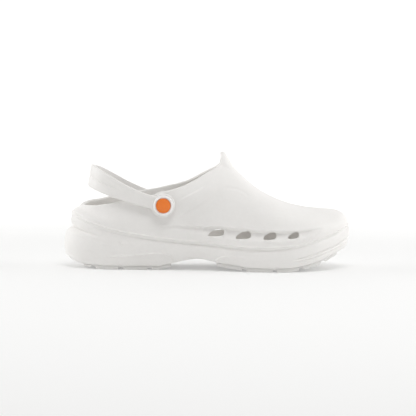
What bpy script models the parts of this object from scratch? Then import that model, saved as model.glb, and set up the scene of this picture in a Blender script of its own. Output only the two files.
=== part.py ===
"""Moulded foam work clog for the right foot.

The toe points along +X, the outer side of the foot is at -Y and +Z is up. The origin is on the
ground at the middle of the shoe's length and width. All sizes are in metres. Tables hold shares of
the named sizes: "along" is a share of LENGTH from the back of the heel, half widths are shares of
half BALL_WIDTH, and heights are shares of SOLE_HEIGHT or INSTEP_HEIGHT as each table says.
"""
import math

import bpy
import bmesh
from mathutils import Vector

# Driving sizes
LENGTH = 0.285
BALL_WIDTH = 0.106
SOLE_HEIGHT = 0.050
INSTEP_HEIGHT = 0.107
WALL = 0.0038
CLEARANCE = 0.0003

# Shell
SIDE_STEP = 0.010
FOOT_RISE = 0.0020
FOOT_SHARE = 0.92
RIM_CROWN = 0.0012
TAB_RISE = 0.0092
TAB_HALF_WIDTH = 0.0125
TAB_DEPTH = 0.012
TAB_ROUNDNESS = 1.2
INNER_COLLAR_LIFT = 0.0045
TOE_SWING = 0.0075
CREST_SWING_SHARE = 0.7
FILLET_REACH = 0.0050
FILLET_RISE = 0.0058

# Footbed
INSOLE_THICKNESS = 0.004
INSOLE_MARGIN = 0.0006
INSOLE_BEVEL = 0.0010

# Tread
TREAD_MARGIN = 0.0008
TREAD_BEVEL = 0.0009
TREAD_BACK_GAP = 0.0010
TREAD_TOE_GAP = 0.0025
GROOVE_WIDTH = 0.004
GROOVE_DEPTH = 0.0022

# Heel strap
STRAP_THICKNESS = 0.0040
STRAP_BACK_WIDTH = 0.0215
STRAP_SIDE_WIDTH = 0.0128
STRAP_LOBE_RADIUS = 0.0114
STRAP_REACH = 0.0778
STRAP_TILT = math.radians(20.5)
STRAP_SAG = 0.0024
STRAP_UPRIGHT = 0.5
STRAP_GROOVE = 0.0009
STRAP_GROOVE_HALF = 0.0014
STRAP_BEVEL = 0.0009
STRAP_BEVEL_LIMIT = 0.4

# Rivets
RIVET_ALONG = 0.3495
RIVET_HEIGHT = 0.0643
RIVET_HEAD_RADIUS = 0.010
RIVET_HEAD_HEIGHT = 0.0032
RIVET_RIM_HEIGHT = 0.0012
RIVET_BACK_RADIUS = 0.0075
RIVET_BACK_HEIGHT = 0.0016
RIVET_SHANK_RADIUS = 0.0036
RIVET_RIM_INSET = 0.3
RIVET_RIM_DROP = 0.15
RIVET_BACK_EDGE = 0.6
RIVET_BACK_FACE = 0.8
DISC_RADIUS = 0.0072
DISC_DEPTH = 0.0016
DISC_CROWN = 0.0005
BOSS_RADIUS = 0.0105
BOSS_RISE = 0.0003

# Vents
VENT_LENGTH = 0.0160
VENT_HEIGHT = 0.0078
VENT_REACH = 0.016
VENT_OVERSHOOT = 0.005
VENT_CORNERS = 16
VENT_ROUNDNESS = 0.62

# Columns round the half outline: the tongue stands at one share and the fan spans it
TONGUE_SHARE = 0.515
TONGUE_FAN = (0.075, 0.03)
COLLAR_SPREAD = 0.25
SPINE_SPREAD = 0.12
SPINE_MARGIN = 0.05
SPINE_SWING_SHARE = 0.5

# Mesh density
COLUMNS_BACK = 18
COLUMNS_TONGUE = 8
COLUMNS_FRONT = 18
UPPER_ROWS = 8
FLAT_ROWS = 2
ROUND_STEPS = 24
PATH_PARTS = 12
STRAP_PARTS = 3
TREAD_STATIONS = 26
TREAD_EDGE_POINTS = 160
LINE_POINTS = 400
LOOK_STEP = 0.004

# Widest outline seen from above
OUTLINE = [
    # along, outer, inner
    (0.011, 0.275, 0.275),
    (0.035, 0.472, 0.472),
    (0.070, 0.597, 0.603),
    (0.123, 0.678, 0.672),
    (0.210, 0.700, 0.668),
    (0.300, 0.690, 0.637),
    (0.386, 0.690, 0.632),
    (0.474, 0.740, 0.680),
    (0.561, 0.850, 0.800),
    (0.649, 0.953, 0.925),
    (0.719, 1.000, 0.990),
    (0.779, 0.972, 1.000),
    (0.835, 0.890, 0.970),
    (0.891, 0.745, 0.900),
    (0.937, 0.550, 0.780),
    (0.972, 0.345, 0.600),
    (0.993, 0.115, 0.385),
]

# Collar edge seen from above
COLLAR_PLAN = [
    # along, outer, inner
    (0.0560, 0.000, 0.000),
    (0.0640, 0.226, 0.226),
    (0.0950, 0.430, 0.430),
    (0.1500, 0.550, 0.535),
    (0.2100, 0.610, 0.580),
    (0.2800, 0.634, 0.595),
    (0.3440, 0.636, 0.592),
    (0.4000, 0.612, 0.572),
    (0.4560, 0.552, 0.530),
    (0.5020, 0.450, 0.440),
    (0.5300, 0.342, 0.338),
    (0.5480, 0.192, 0.190),
    (0.5544, 0.000, 0.000),
]

# Lines of the sole seen from the side, as shares of SOLE_HEIGHT
SOLE_LINES = [
    # along, tread, bottom, floor, bead
    (0.0000, 0.160, 0.180, 0.440, 1.070),
    (0.0370, 0.090, 0.112, 0.430, 1.056),
    (0.0680, 0.052, 0.078, 0.420, 0.984),
    (0.1105, 0.020, 0.084, 0.410, 0.900),
    (0.1456, 0.000, 0.076, 0.404, 0.832),
    (0.1950, 0.000, 0.076, 0.400, 0.762),
    (0.2650, 0.000, 0.076, 0.400, 0.694),
    (0.3350, 0.000, 0.076, 0.406, 0.636),
    (0.3560, 0.036, 0.106, 0.410, 0.622),
    (0.3840, 0.070, 0.140, 0.416, 0.604),
    (0.4260, 0.130, 0.200, 0.418, 0.580),
    (0.4720, 0.160, 0.234, 0.408, 0.566),
    (0.5246, 0.116, 0.186, 0.376, 0.540),
    (0.5526, 0.082, 0.154, 0.352, 0.526),
    (0.6090, 0.036, 0.112, 0.314, 0.498),
    (0.6510, 0.000, 0.076, 0.296, 0.488),
    (0.6930, 0.000, 0.076, 0.290, 0.484),
    (0.7737, 0.000, 0.076, 0.300, 0.506),
    (0.8333, 0.048, 0.122, 0.340, 0.560),
    (0.8895, 0.130, 0.202, 0.416, 0.648),
    (0.9456, 0.272, 0.332, 0.530, 0.754),
    (0.9737, 0.360, 0.385, 0.610, 0.836),
    (1.0000, 0.480, 0.500, 0.700, 0.896),
]

# Collar edge seen from the side, as shares of INSTEP_HEIGHT
COLLAR_LINE = [
    # along, height
    (0.0560, 0.578),
    (0.1105, 0.577),
    (0.1386, 0.586),
    (0.1947, 0.614),
    (0.3000, 0.670),
    (0.3700, 0.726),
    (0.4228, 0.778),
    (0.4754, 0.858),
    (0.5035, 0.902),
    (0.5316, 0.944),
    (0.5544, 1.000),
]

# Crest of the vamp seen from the side, as shares of INSTEP_HEIGHT
CREST_LINE = [
    # along, height
    (0.5544, 1.000),
    (0.5807, 0.966),
    (0.6088, 0.899),
    (0.6368, 0.830),
    (0.6649, 0.768),
    (0.6930, 0.719),
    (0.7491, 0.645),
    (0.8053, 0.598),
    (0.8614, 0.573),
    (0.9280, 0.560),
]

# How far the sole's side stands in from the widest outline, as shares of SIDE_STEP
SIDE_STEPS = [
    # level, back, corner, side, waist, ball, toe corner, toe tip
    (0.000, 1.95, 1.40, 0.30, 0.32, 0.30, 0.65, 1.00),
    (0.045, 1.05, 0.80, 0.17, 0.22, 0.20, 0.45, 0.65),
    (0.110, 0.55, 0.42, 0.12, 0.18, 0.16, 0.30, 0.40),
    (0.200, 0.15, 0.13, 0.08, 0.14, 0.12, 0.20, 0.22),
    (0.420, 0.00, 0.00, 0.00, 0.08, 0.06, 0.08, 0.06),
    (0.640, 0.20, 0.18, 0.05, 0.06, 0.06, 0.02, 0.00),
    (0.700, 0.42, 0.36, 0.08, 0.07, 0.07, 0.01, 0.00),
    (0.750, 0.80, 0.64, 0.12, 0.08, 0.08, 0.01, 0.00),
    (0.890, 0.65, 0.50, 0.14, 0.12, 0.10, 0.03, 0.00),
    (0.960, 0.70, 0.56, 0.05, 0.01, 0.00, 0.05, 0.06),
    (1.000, 0.78, 0.64, 0.12, 0.07, 0.06, 0.14, 0.16),
]
SIDE_STEP_ALONG = (0.0, 0.035, 0.160, 0.420, 0.710, 0.945, 1.0)

# How the wall rises from its foot and how it meets the collar or crest, from the heel to the toe
WALL_LEAN = [
    # share of columns, steepness in degrees, top handle, foot handle, turn to the front
    (0.000, 48.0, 0.34, 0.45, 0.00),
    (0.150, 64.0, 0.32, 0.45, 0.00),
    (0.280, 80.0, 0.35, 0.50, 0.00),
    (0.370, 76.0, 0.36, 0.52, 0.06),
    (0.430, 58.0, 0.40, 0.57, 0.36),
    (0.480, 30.0, 0.46, 0.62, 0.84),
    (0.515, 19.0, 0.52, 0.66, 1.00),
    (0.560, 0.0, 0.58, 0.68, 0.72),
    (0.620, 0.0, 0.66, 0.68, 0.28),
    (0.720, 0.0, 0.68, 0.67, 0.00),
    (0.900, 0.0, 0.62, 0.62, 0.00),
    (1.000, 0.0, 0.56, 0.56, 0.00),
]
TONGUE_CORNER = math.radians(45)

# Vents of each side, from the instep to the toe
VENTS = [
    # along, middle as a share of SOLE_HEIGHT, share of VENT_LENGTH, share of VENT_HEIGHT, slope
    (0.5316, 0.760, 1.000, 0.90, 0.10),
    (0.6256, 0.724, 0.970, 1.00, 0.16),
    (0.7193, 0.712, 0.825, 1.00, 0.18),
    (0.8028, 0.724, 0.725, 0.85, 0.20),
]

# Strap seen square to its own plane, from the rivet to the back of the heel
STRAP_PLAN = [
    # share of STRAP_REACH, share of the rivet's distance, width (0 side, 1 back), share of STRAP_SAG
    (0.00, 1.000, 0.00, 0.00),
    (0.26, 0.985, 0.05, 0.80),
    (0.50, 0.930, 0.32, 1.00),
    (0.72, 0.835, 0.70, 0.65),
    (0.885, 0.650, 0.95, 0.25),
    (0.970, 0.360, 1.00, 0.05),
    (1.000, 0.000, 1.00, 0.00),
]

# Degrees round the strap's end at which its stations stand
STRAP_LOBE_ANGLES = (12, 32, 54, 74)

# Fillet between the inner wall and the floor
FLOOR_FILLET = [
    # inset as a share of FILLET_REACH, rise as a share of FILLET_RISE
    (0.16, 1.000),
    (0.48, 0.276),
    (1.00, 0.000),
]

# Low dome of the rivet's disc
DISC_DOME = [
    # share of DISC_RADIUS, share of DISC_CROWN
    (0.00, 1.0),
    (0.50, 0.8),
    (0.85, 0.3),
    (1.00, 0.0),
]

# Where the treads and their cross grooves lie, as shares of LENGTH
HEEL_GROOVES = (0.1070, 0.2018, 0.3035)
FOREFOOT_GROOVES = (0.6298, 0.7351, 0.8263, 0.9035)
HEEL_TREAD_END = 0.3750
FOREFOOT_TREAD_START = 0.5350

HALF_WIDTH = BALL_WIDTH / 2
OUTER = -1
INNER = 1


def clear_scene():
    for item in list(bpy.data.objects):
        bpy.data.objects.remove(item, do_unlink=True)


def place_x(along):
    return (along - 0.5) * LENGTH


def place_along(x):
    return x / LENGTH + 0.5


def slopes_of(knots, values):
    """Slopes of a curve that neither overshoots its rows nor bends a level stretch."""
    steps = [(values[i + 1] - values[i]) / (knots[i + 1] - knots[i]) for i in range(len(knots) - 1)]
    slopes = [steps[0]]
    for before, after in zip(steps, steps[1:]):
        slopes.append(0.0 if before * after <= 0 else 2 * before * after / (before + after))
    return slopes + [steps[-1]]


def row_curve(rows, column, key=0):
    """Smooth function through one column of a table."""
    knots = [row[key] for row in rows]
    values = [row[column] for row in rows]
    slopes = slopes_of(knots, values)

    def read(at):
        at = min(max(at, knots[0]), knots[-1])
        i = 0
        while i < len(knots) - 2 and at > knots[i + 1]:
            i += 1
        width = knots[i + 1] - knots[i]
        t = (at - knots[i]) / width
        rise = t * t * (3 - 2 * t)
        return (values[i] * (1 - rise) + values[i + 1] * rise
                + width * (slopes[i] * t * (1 - t) ** 2 - slopes[i + 1] * t * t * (1 - t)))

    return read


def smooth_path(points, parts):
    """Curve through points, with parts steps between each two."""
    path = []
    for i in range(len(points) - 1):
        before = points[i - 1] if i > 0 else points[i] * 2 - points[i + 1]
        start, end = points[i], points[i + 1]
        after = points[i + 2] if i + 2 < len(points) else end * 2 - start
        for step in range(parts):
            t = step / parts
            path.append(0.5 * (2 * start + (end - before) * t
                               + (2 * before - 5 * start + 4 * end - after) * t * t
                               + (3 * start - before - 3 * end + after) * t ** 3))
    return path + [points[-1].copy()]


def path_reader(path):
    """Function from a share of a path's length to a point on it."""
    lengths = [0.0]
    for start, end in zip(path, path[1:]):
        lengths.append(lengths[-1] + (end - start).length)

    def read(share):
        goal = min(max(share, 0.0), 1.0) * lengths[-1]
        i = 0
        while i < len(lengths) - 2 and lengths[i + 1] < goal:
            i += 1
        part = (goal - lengths[i]) / (lengths[i + 1] - lengths[i])
        return path[i].lerp(path[i + 1], part)

    return read


def half_loop(rows, side, start, end):
    """One side of a closed outline, with its mirrored neighbours so that the ends stay round."""
    column = 1 if side == OUTER else 2
    other = 2 if side == OUTER else 1
    points = [Vector((place_x(row[0]), side * row[column] * HALF_WIDTH, 0.0)) for row in rows]
    across_start = Vector((points[0].x, -side * rows[0][other] * HALF_WIDTH, 0.0))
    across_end = Vector((points[-1].x, -side * rows[-1][other] * HALF_WIDTH, 0.0))
    path = smooth_path([across_start, start] + points + [end, across_end], PATH_PARTS)
    return path[PATH_PARTS:-PATH_PARTS]


def fit_width(path, side):
    reach = max(side * point.y for point in path)
    for point in path:
        if side * point.y > 0:
            point.y *= HALF_WIDTH / reach
    return path


HEEL_BACK = Vector((place_x(0.0), 0.0, 0.0))
TOE_TIP = Vector((place_x(1.0), TOE_SWING, 0.0))
OUTLINE_READ = {side: path_reader(fit_width(half_loop(OUTLINE, side, HEEL_BACK, TOE_TIP), side))
                for side in (OUTER, INNER)}
COLLAR_READ = {side: path_reader(half_loop(COLLAR_PLAN[1:-1], side,
                                           Vector((place_x(COLLAR_PLAN[0][0]), 0.0, 0.0)),
                                           Vector((place_x(COLLAR_PLAN[-1][0]), 0.0, 0.0))))
               for side in (OUTER, INNER)}
TREAD_LINE, BOTTOM_LINE, FLOOR_LINE, BEAD_LINE = (row_curve(SOLE_LINES, k) for k in (1, 2, 3, 4))
COLLAR_HEIGHT = row_curve(COLLAR_LINE, 1)
CREST_HEIGHT = row_curve(CREST_LINE, 1)
LEAN_READ = row_curve(WALL_LEAN, 1)
HANDLE_READ = row_curve(WALL_LEAN, 2)
FOOT_HANDLE_READ = row_curve(WALL_LEAN, 3)
TURN_READ = row_curve(WALL_LEAN, 4)


def sole_height(line, x):
    return line(place_along(x)) * SOLE_HEIGHT


def step_curve(row):
    return row_curve(list(zip(SIDE_STEP_ALONG, row[1:])), 1)


STEP_CURVES = [(row[0], step_curve(row)) for row in SIDE_STEPS]


def column_shares():
    """Shares of the half outline at which the columns stand, closer together at the tongue."""
    low = TONGUE_SHARE - TONGUE_FAN[0]
    high = TONGUE_SHARE + TONGUE_FAN[1]
    inside = round(COLUMNS_TONGUE * TONGUE_FAN[0] / (TONGUE_FAN[0] + TONGUE_FAN[1]))
    shares = [low * i / COLUMNS_BACK for i in range(COLUMNS_BACK)]
    shares += [low + TONGUE_FAN[0] * i / inside for i in range(inside)]
    outside = COLUMNS_TONGUE - inside
    shares += [TONGUE_SHARE + TONGUE_FAN[1] * i / outside for i in range(outside)]
    shares += [high + (1 - high) * i / COLUMNS_FRONT for i in range(COLUMNS_FRONT + 1)]
    return shares


SHARES = column_shares()
LAST = len(SHARES) - 1
TONGUE_COLUMN = min(range(len(SHARES)), key=lambda i: abs(SHARES[i] - TONGUE_SHARE))


def outward(side, share):
    """Direction square to the outline, seen from above."""
    if share <= 0.0:
        return Vector((-1.0, 0.0, 0.0))
    if share >= 1.0:
        return Vector((1.0, 0.0, 0.0))
    read = OUTLINE_READ[side]
    run = read(share + LOOK_STEP) - read(share - LOOK_STEP)
    return Vector((-side * run.y, side * run.x, 0.0)).normalized()


def stepped_in(side, share, inset):
    return OUTLINE_READ[side](share) - outward(side, share) * inset


def inset_at(curve, along):
    return curve(along) * SIDE_STEP


def foot_inset(along):
    return inset_at(STEP_CURVES[-1][1], along) * FOOT_SHARE


def side_rows(side, share):
    """Points of one column from the bottom edge up to the foot of the upper."""
    along = place_along(OUTLINE_READ[side](share).x)
    edge = stepped_in(side, share, inset_at(STEP_CURVES[0][1], along))
    top = stepped_in(side, share, inset_at(STEP_CURVES[-1][1], along))
    low = sole_height(BOTTOM_LINE, edge.x)
    high = sole_height(BEAD_LINE, top.x)
    points = []
    for level, curve in STEP_CURVES:
        point = stepped_in(side, share, inset_at(curve, along))
        point.z = low + (high - low) * level
        points.append(point)
    foot = stepped_in(side, share, foot_inset(along))
    foot.z = high + FOOT_RISE
    return points + [foot]


def tab_lift(point):
    """How far the tongue tab raises a point of the instep."""
    tip = place_x(COLLAR_PLAN[-1][0])
    across = max(0.0, 1 - (point.y / TAB_HALF_WIDTH) ** 2)
    away = abs(point.x - tip) / (TAB_DEPTH if point.x > tip else 2 * TAB_DEPTH)
    near = max(0.0, 1 - away)
    return TAB_RISE * across ** TAB_ROUNDNESS * near * near * (3 - 2 * near)


def top_point(side, share):
    """Where a column ends: on the collar edge, or on the crest of the vamp."""
    if share <= TONGUE_SHARE:
        part = share / TONGUE_SHARE
        point = COLLAR_READ[side](COLLAR_SPREAD * part + (1 - COLLAR_SPREAD) * part * part)
        point.z = COLLAR_HEIGHT(place_along(point.x)) * INSTEP_HEIGHT
        if side == INNER:
            point.z += INNER_COLLAR_LIFT * math.sin(math.pi * part) ** 2
        return point
    part = (share - TONGUE_SHARE) / (1 - TONGUE_SHARE)
    first, last = CREST_LINE[0][0], CREST_LINE[-1][0]
    along = first + (last - first) * part
    height = CREST_HEIGHT(along) * INSTEP_HEIGHT
    return Vector((place_x(along), TOE_SWING * CREST_SWING_SHARE * part * part, height))


def crest_slope(x):
    along = place_along(x)
    rise = (CREST_HEIGHT(along + LOOK_STEP) - CREST_HEIGHT(along - LOOK_STEP)) * INSTEP_HEIGHT
    return rise / (2 * LOOK_STEP * LENGTH)


def wall_rows(side, share, foot, rows):
    """Points of one column from the foot of the upper to the collar or the crest."""
    top = top_point(side, share)
    flat = Vector((foot.x - top.x, foot.y - top.y, 0.0))
    width = flat.length
    corner = Vector((math.cos(TONGUE_CORNER), side * math.sin(TONGUE_CORNER), 0.0))
    leave = flat.normalized().lerp(corner, TURN_READ(share)).normalized()
    lean = math.radians(LEAN_READ(share))
    reach = HANDLE_READ(share) * (width * math.cos(lean) + (top.z - foot.z) * math.sin(lean))
    leave.z = -math.tan(lean) if share < TONGUE_SHARE else crest_slope(top.x) * leave.x
    leave.normalize()
    low_handle = foot + Vector((0.0, 0.0, FOOT_HANDLE_READ(share) * (top.z - foot.z)))
    high_handle = top + leave * reach
    points = []
    for i in range(1, rows + 1):
        t = i / rows
        points.append(foot * (1 - t) ** 3 + low_handle * (3 * t * (1 - t) ** 2)
                      + high_handle * (3 * t * t * (1 - t)) + top * t ** 3)
    for point in points:
        point.z += tab_lift(point)
    return points


def spine_places(edges):
    """Middle points that the columns of a closed flat surface run to from edges[side][column]."""
    start = edges[OUTER][0].x
    end = edges[OUTER][LAST].x
    places = []
    for i, share in enumerate(SHARES):
        middle = (edges[OUTER][i].x + edges[INNER][i].x) / 2
        part = (1 - SPINE_SPREAD) * (middle - start) / (end - start) + SPINE_SPREAD * share
        x = start + (end - start) * (SPINE_MARGIN + (1 - 2 * SPINE_MARGIN) * part)
        places.append(Vector((x, TOE_SWING * SPINE_SWING_SHARE * part ** 3, 0.0)))
    return places


class ShellBuilder:
    """Closed mesh made of columns that run round the outline."""

    def __init__(self):
        self.mesh = bmesh.new()

    def add(self, point):
        return self.mesh.verts.new(point)

    def column_sets(self, rows, spine_row, crest_row):
        """Vertices for rows[side][column], shared where the two sides meet."""
        made = {OUTER: [[self.add(point) for point in column] for column in rows[OUTER]], INNER: []}
        for i, column in enumerate(rows[INNER]):
            if i in (0, LAST):
                made[INNER].append(made[OUTER][i])
                continue
            verts = [None] * len(column)
            verts[spine_row] = made[OUTER][i][spine_row]
            if crest_row is not None and i >= TONGUE_COLUMN:
                verts[crest_row] = made[OUTER][i][crest_row]
            made[INNER].append([vert or self.add(point) for vert, point in zip(verts, column)])
        return made

    def rim(self, outer, inner, normals):
        """Crowned strip round the collar, from the outer to the inner surface."""
        crowns = {OUTER: [], INNER: []}
        for side in (OUTER, INNER):
            for i in range(TONGUE_COLUMN + 1):
                if side == INNER and i in (0, TONGUE_COLUMN):
                    crowns[side].append(crowns[OUTER][i])
                    continue
                out, into = outer[side][i][-1], inner[side][i][0]
                along_wall = out.co - outer[side][i][-2].co
                along_wall -= normals[side][i][-1] * along_wall.dot(normals[side][i][-1])
                crowns[side].append(self.add((out.co + into.co) / 2 + along_wall.normalized() * RIM_CROWN))
        for side in (OUTER, INNER):
            for i in range(TONGUE_COLUMN):
                strip = [(outer[side][j][-1], crowns[side][j], inner[side][j][0]) for j in (i, i + 1)]
                self.skin(strip[0], strip[1])

    def skin(self, first, second):
        """Faces between two neighbouring columns."""
        for k in range(len(first) - 1):
            corners = [first[k], second[k], second[k + 1], first[k + 1]]
            kept = list(dict.fromkeys(corners))
            if len(kept) > 2:
                self.mesh.faces.new(kept)

    def close(self, name):
        bmesh.ops.recalc_face_normals(self.mesh, faces=self.mesh.faces)
        data = bpy.data.meshes.new(name)
        self.mesh.to_mesh(data)
        self.mesh.free()
        return data


def surface_normals(grid):
    """Outward direction at each point of grid[side][column][row], joined across heel and toe."""
    loop = [(OUTER, i) for i in range(LAST)] + [(INNER, LAST - i) for i in range(LAST)]
    normals = {OUTER: [None] * len(SHARES), INNER: [None] * len(SHARES)}
    rows = len(grid[OUTER][0])
    count = len(loop)
    for place, (side, i) in enumerate(loop):
        before_side, before = loop[place - 1]
        after_side, after = loop[(place + 1) % count]
        column = []
        for k in range(rows):
            around = grid[after_side][after][k] - grid[before_side][before][k]
            below = grid[side][i][max(k - 1, 0)]
            above = grid[side][i][min(k + 1, rows - 1)]
            if k == rows - 1 and i >= TONGUE_COLUMN:
                above = grid[-side][i][k - 1]
                around = grid[side][min(i + 1, LAST)][k] - grid[side][max(i - 1, TONGUE_COLUMN)][k]
                if side == INNER:
                    around = -around
            if i == LAST and k == rows - 1:
                around = Vector((0.0, 1.0, 0.0))
                above = grid[side][i - 1][k]
            column.append(around.cross(above - below).normalized())
        normals[side][i] = column
    normals[INNER][0] = normals[OUTER][0]
    normals[OUTER][LAST] = normals[INNER][LAST]
    for i in range(TONGUE_COLUMN, len(SHARES)):
        for side in (OUTER, INNER):
            normals[side][i][-1].y = 0.0
            normals[side][i][-1].normalize()
    return normals


def fillet_steps():
    """Inset and rise of each row of the fillet, from the wall down to the floor."""
    return [(inset * FILLET_REACH, rise * FILLET_RISE) for inset, rise in FLOOR_FILLET]


def floor_rows(side, share):
    """Points of the inside from the wall's foot down to the edge of the floor."""
    along = place_along(OUTLINE_READ[side](share).x)
    base = foot_inset(along) + WALL
    edge = stepped_in(side, share, base + FILLET_REACH)
    floor = sole_height(FLOOR_LINE, edge.x)
    points = []
    for inset, rise in fillet_steps():
        point = stepped_in(side, share, base + inset)
        point.z = floor + rise
        points.append(point)
    return points


def flat_rows(spine, edge, line, lift=0.0):
    """Points from the middle of a floor to its edge, all on one line of the sole."""
    points = []
    for i in range(FLAT_ROWS):
        point = spine.lerp(edge, i / FLAT_ROWS)
        point.z = sole_height(line, point.x) + lift
        points.append(point)
    return points


def row_points(rows, place):
    """The point at one place of every column, by side."""
    return {side: [column[place] for column in rows[side]] for side in rows}


def build_shell():
    """Hollow upper with the sole's side and floor, as one closed mesh."""
    sides = (OUTER, INNER)
    sole = {side: [side_rows(side, share) for share in SHARES] for side in sides}
    wall = {side: [[sole[side][i][-1]] + wall_rows(side, share, sole[side][i][-1], UPPER_ROWS)
                   for i, share in enumerate(SHARES)] for side in sides}
    fillet = {side: [floor_rows(side, share) for share in SHARES] for side in sides}
    normals = surface_normals(wall)
    bottom_spine = spine_places(row_points(sole, 0))
    floor_spine = spine_places(row_points(fillet, -1))

    outer_rows = {}
    inner_rows = {}
    for side in sides:
        outer_rows[side] = []
        inner_rows[side] = []
        for i in range(len(SHARES)):
            under = flat_rows(bottom_spine[i], sole[side][i][0], BOTTOM_LINE)
            outer_rows[side].append(under + sole[side][i] + wall[side][i][1:])
            lining = [wall[side][i][k] - normals[side][i][k] * WALL for k in range(UPPER_ROWS, -1, -1)]
            ground = flat_rows(floor_spine[i], fillet[side][i][-1], FLOOR_LINE)
            inner_rows[side].append(lining + fillet[side][i] + ground[::-1])

    shell = ShellBuilder()
    skins = []
    for rows, spine_row, crest_row in ((outer_rows, 0, -1), (inner_rows, -1, 0)):
        columns = shell.column_sets(rows, spine_row, crest_row)
        for side in sides:
            for first, second in zip(columns[side], columns[side][1:]):
                shell.skin(first, second)
        skins.append(columns)
    shell.rim(skins[0], skins[1], normals)
    return shell.close("upper_and_midsole")


def build_insole():
    """Loose footbed that follows the floor and its fillet."""
    sides = (OUTER, INNER)
    top = CLEARANCE + INSOLE_THICKNESS
    (high_inset, high_rise), (middle_inset, middle_rise), (low_inset, low_rise) = fillet_steps()
    rim_inset = high_inset + 2 * INSOLE_MARGIN
    edge_rows = (
        (low_inset + INSOLE_MARGIN, low_rise + CLEARANCE),
        (middle_inset + INSOLE_MARGIN, middle_rise + CLEARANCE),
        (rim_inset, min(top, high_rise) - INSOLE_BEVEL),
        (rim_inset + INSOLE_BEVEL, top),
    )
    fillet = {side: [floor_rows(side, share) for share in SHARES] for side in sides}
    spine = spine_places(row_points(fillet, -1))
    rows = {}
    for side in sides:
        rows[side] = []
        for i, share in enumerate(SHARES):
            along = place_along(OUTLINE_READ[side](share).x)
            base = foot_inset(along) + WALL
            points = []
            for inset, rise in edge_rows:
                point = stepped_in(side, share, base + inset)
                point.z = sole_height(FLOOR_LINE, point.x) + rise
                points.append(point)
            under = flat_rows(spine[i], points[0], FLOOR_LINE, CLEARANCE)
            over = flat_rows(spine[i], points[-1], FLOOR_LINE, top)
            rows[side].append(under + points + over[::-1])
    slab = ShellBuilder()
    columns = slab.column_sets(rows, 0, None)
    for side in sides:
        for i in range(1, LAST):
            columns[side][i][-1] = columns[OUTER][i][-1]
        for first, second in zip(columns[side], columns[side][1:]):
            slab.skin(first, second)
    loose = [vert for vert in slab.mesh.verts if not vert.link_faces]
    bmesh.ops.delete(slab.mesh, geom=loose, context="VERTS")
    return slab.close("insole")


def half_width_at(points, x):
    """Distance from the middle of a line seen from above, at one place along it."""
    for start, end in zip(points, points[1:]):
        if start.x <= x <= end.x and end.x > start.x:
            return abs(start.y + (end.y - start.y) * (x - start.x) / (end.x - start.x))
    return abs(points[0].y if x < points[0].x else points[-1].y)


def line_points(read):
    return [read(i / LINE_POINTS) for i in range(LINE_POINTS + 1)]


def bottom_edge(side):
    """Bottom edge of the shell on one side, from the heel to the toe."""
    return [side_rows(side, i / TREAD_EDGE_POINTS)[0] for i in range(TREAD_EDGE_POINTS + 1)]


def build_tread(name, edges, start, end):
    """Rubber tread that follows the bottom edges of the shell between two places along it."""
    mesh = bmesh.new()
    loops = []
    for i in range(TREAD_STATIONS + 1):
        part = (1 - math.cos(math.pi * i / TREAD_STATIONS)) / 2
        x = start + (end - start) * part
        low = sole_height(TREAD_LINE, x)
        high = sole_height(BOTTOM_LINE, x) - CLEARANCE
        near = tread_side(edges[OUTER], x, OUTER)
        far = tread_side(edges[INNER], x, INNER)
        loop = [(near, high), (near, low + TREAD_BEVEL), (near + TREAD_BEVEL, low),
                (far - TREAD_BEVEL, low), (far, low + TREAD_BEVEL), (far, high)]
        loops.append([mesh.verts.new((x, y, z)) for y, z in loop])
    for first, second in zip(loops, loops[1:]):
        for k in range(len(first)):
            after = (k + 1) % len(first)
            mesh.faces.new((first[k], first[after], second[after], second[k]))
    mesh.faces.new(loops[0])
    mesh.faces.new(loops[-1][::-1])
    bmesh.ops.recalc_face_normals(mesh, faces=mesh.faces)
    data = bpy.data.meshes.new(name)
    mesh.to_mesh(data)
    mesh.free()
    return data


def tread_side(edge, x, side):
    """Y of a tread's side: a margin inside the bottom edge of the shell."""
    crossings = []
    for start, end in zip(edge, edge[1:]):
        if min(start.x, end.x) <= x <= max(start.x, end.x) and end.x != start.x:
            crossings.append(start.y + (end.y - start.y) * (x - start.x) / (end.x - start.x))
    return side * (max(side * y for y in crossings) - TREAD_MARGIN)


def strap_half_width(place, width_share):
    """Half the strap's width at a distance from the rivet."""
    plain = (STRAP_SIDE_WIDTH + (STRAP_BACK_WIDTH - STRAP_SIDE_WIDTH) * width_share) / 2
    if place >= STRAP_LOBE_RADIUS:
        return plain
    return max(plain, math.sqrt(STRAP_LOBE_RADIUS ** 2 - place ** 2))


def strap_stations(distances):
    """Centre in the strap's own plane, half width, back share and sag of each station."""
    path = {}
    lobes = {}
    for side in (OUTER, INNER):
        away = side * distances[side]
        path[side] = [Vector((reach * STRAP_REACH, share * away, width, sag * STRAP_SAG))
                      for reach, share, width, sag in STRAP_PLAN]
        lobes[side] = []
        for angle in STRAP_LOBE_ANGLES:
            place = -STRAP_LOBE_RADIUS * math.cos(math.radians(angle))
            half = STRAP_LOBE_RADIUS * math.sin(math.radians(angle))
            lobes[side].append((Vector((place, away)), half, 0.0, 0.0))
    middle = []
    for point in smooth_path(path[INNER] + path[OUTER][-2::-1], STRAP_PARTS):
        middle.append((Vector((point.x, point.y)), strap_half_width(point.x, point.z), point.z, point.w))
    return lobes[INNER] + middle + lobes[OUTER][::-1]


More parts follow.
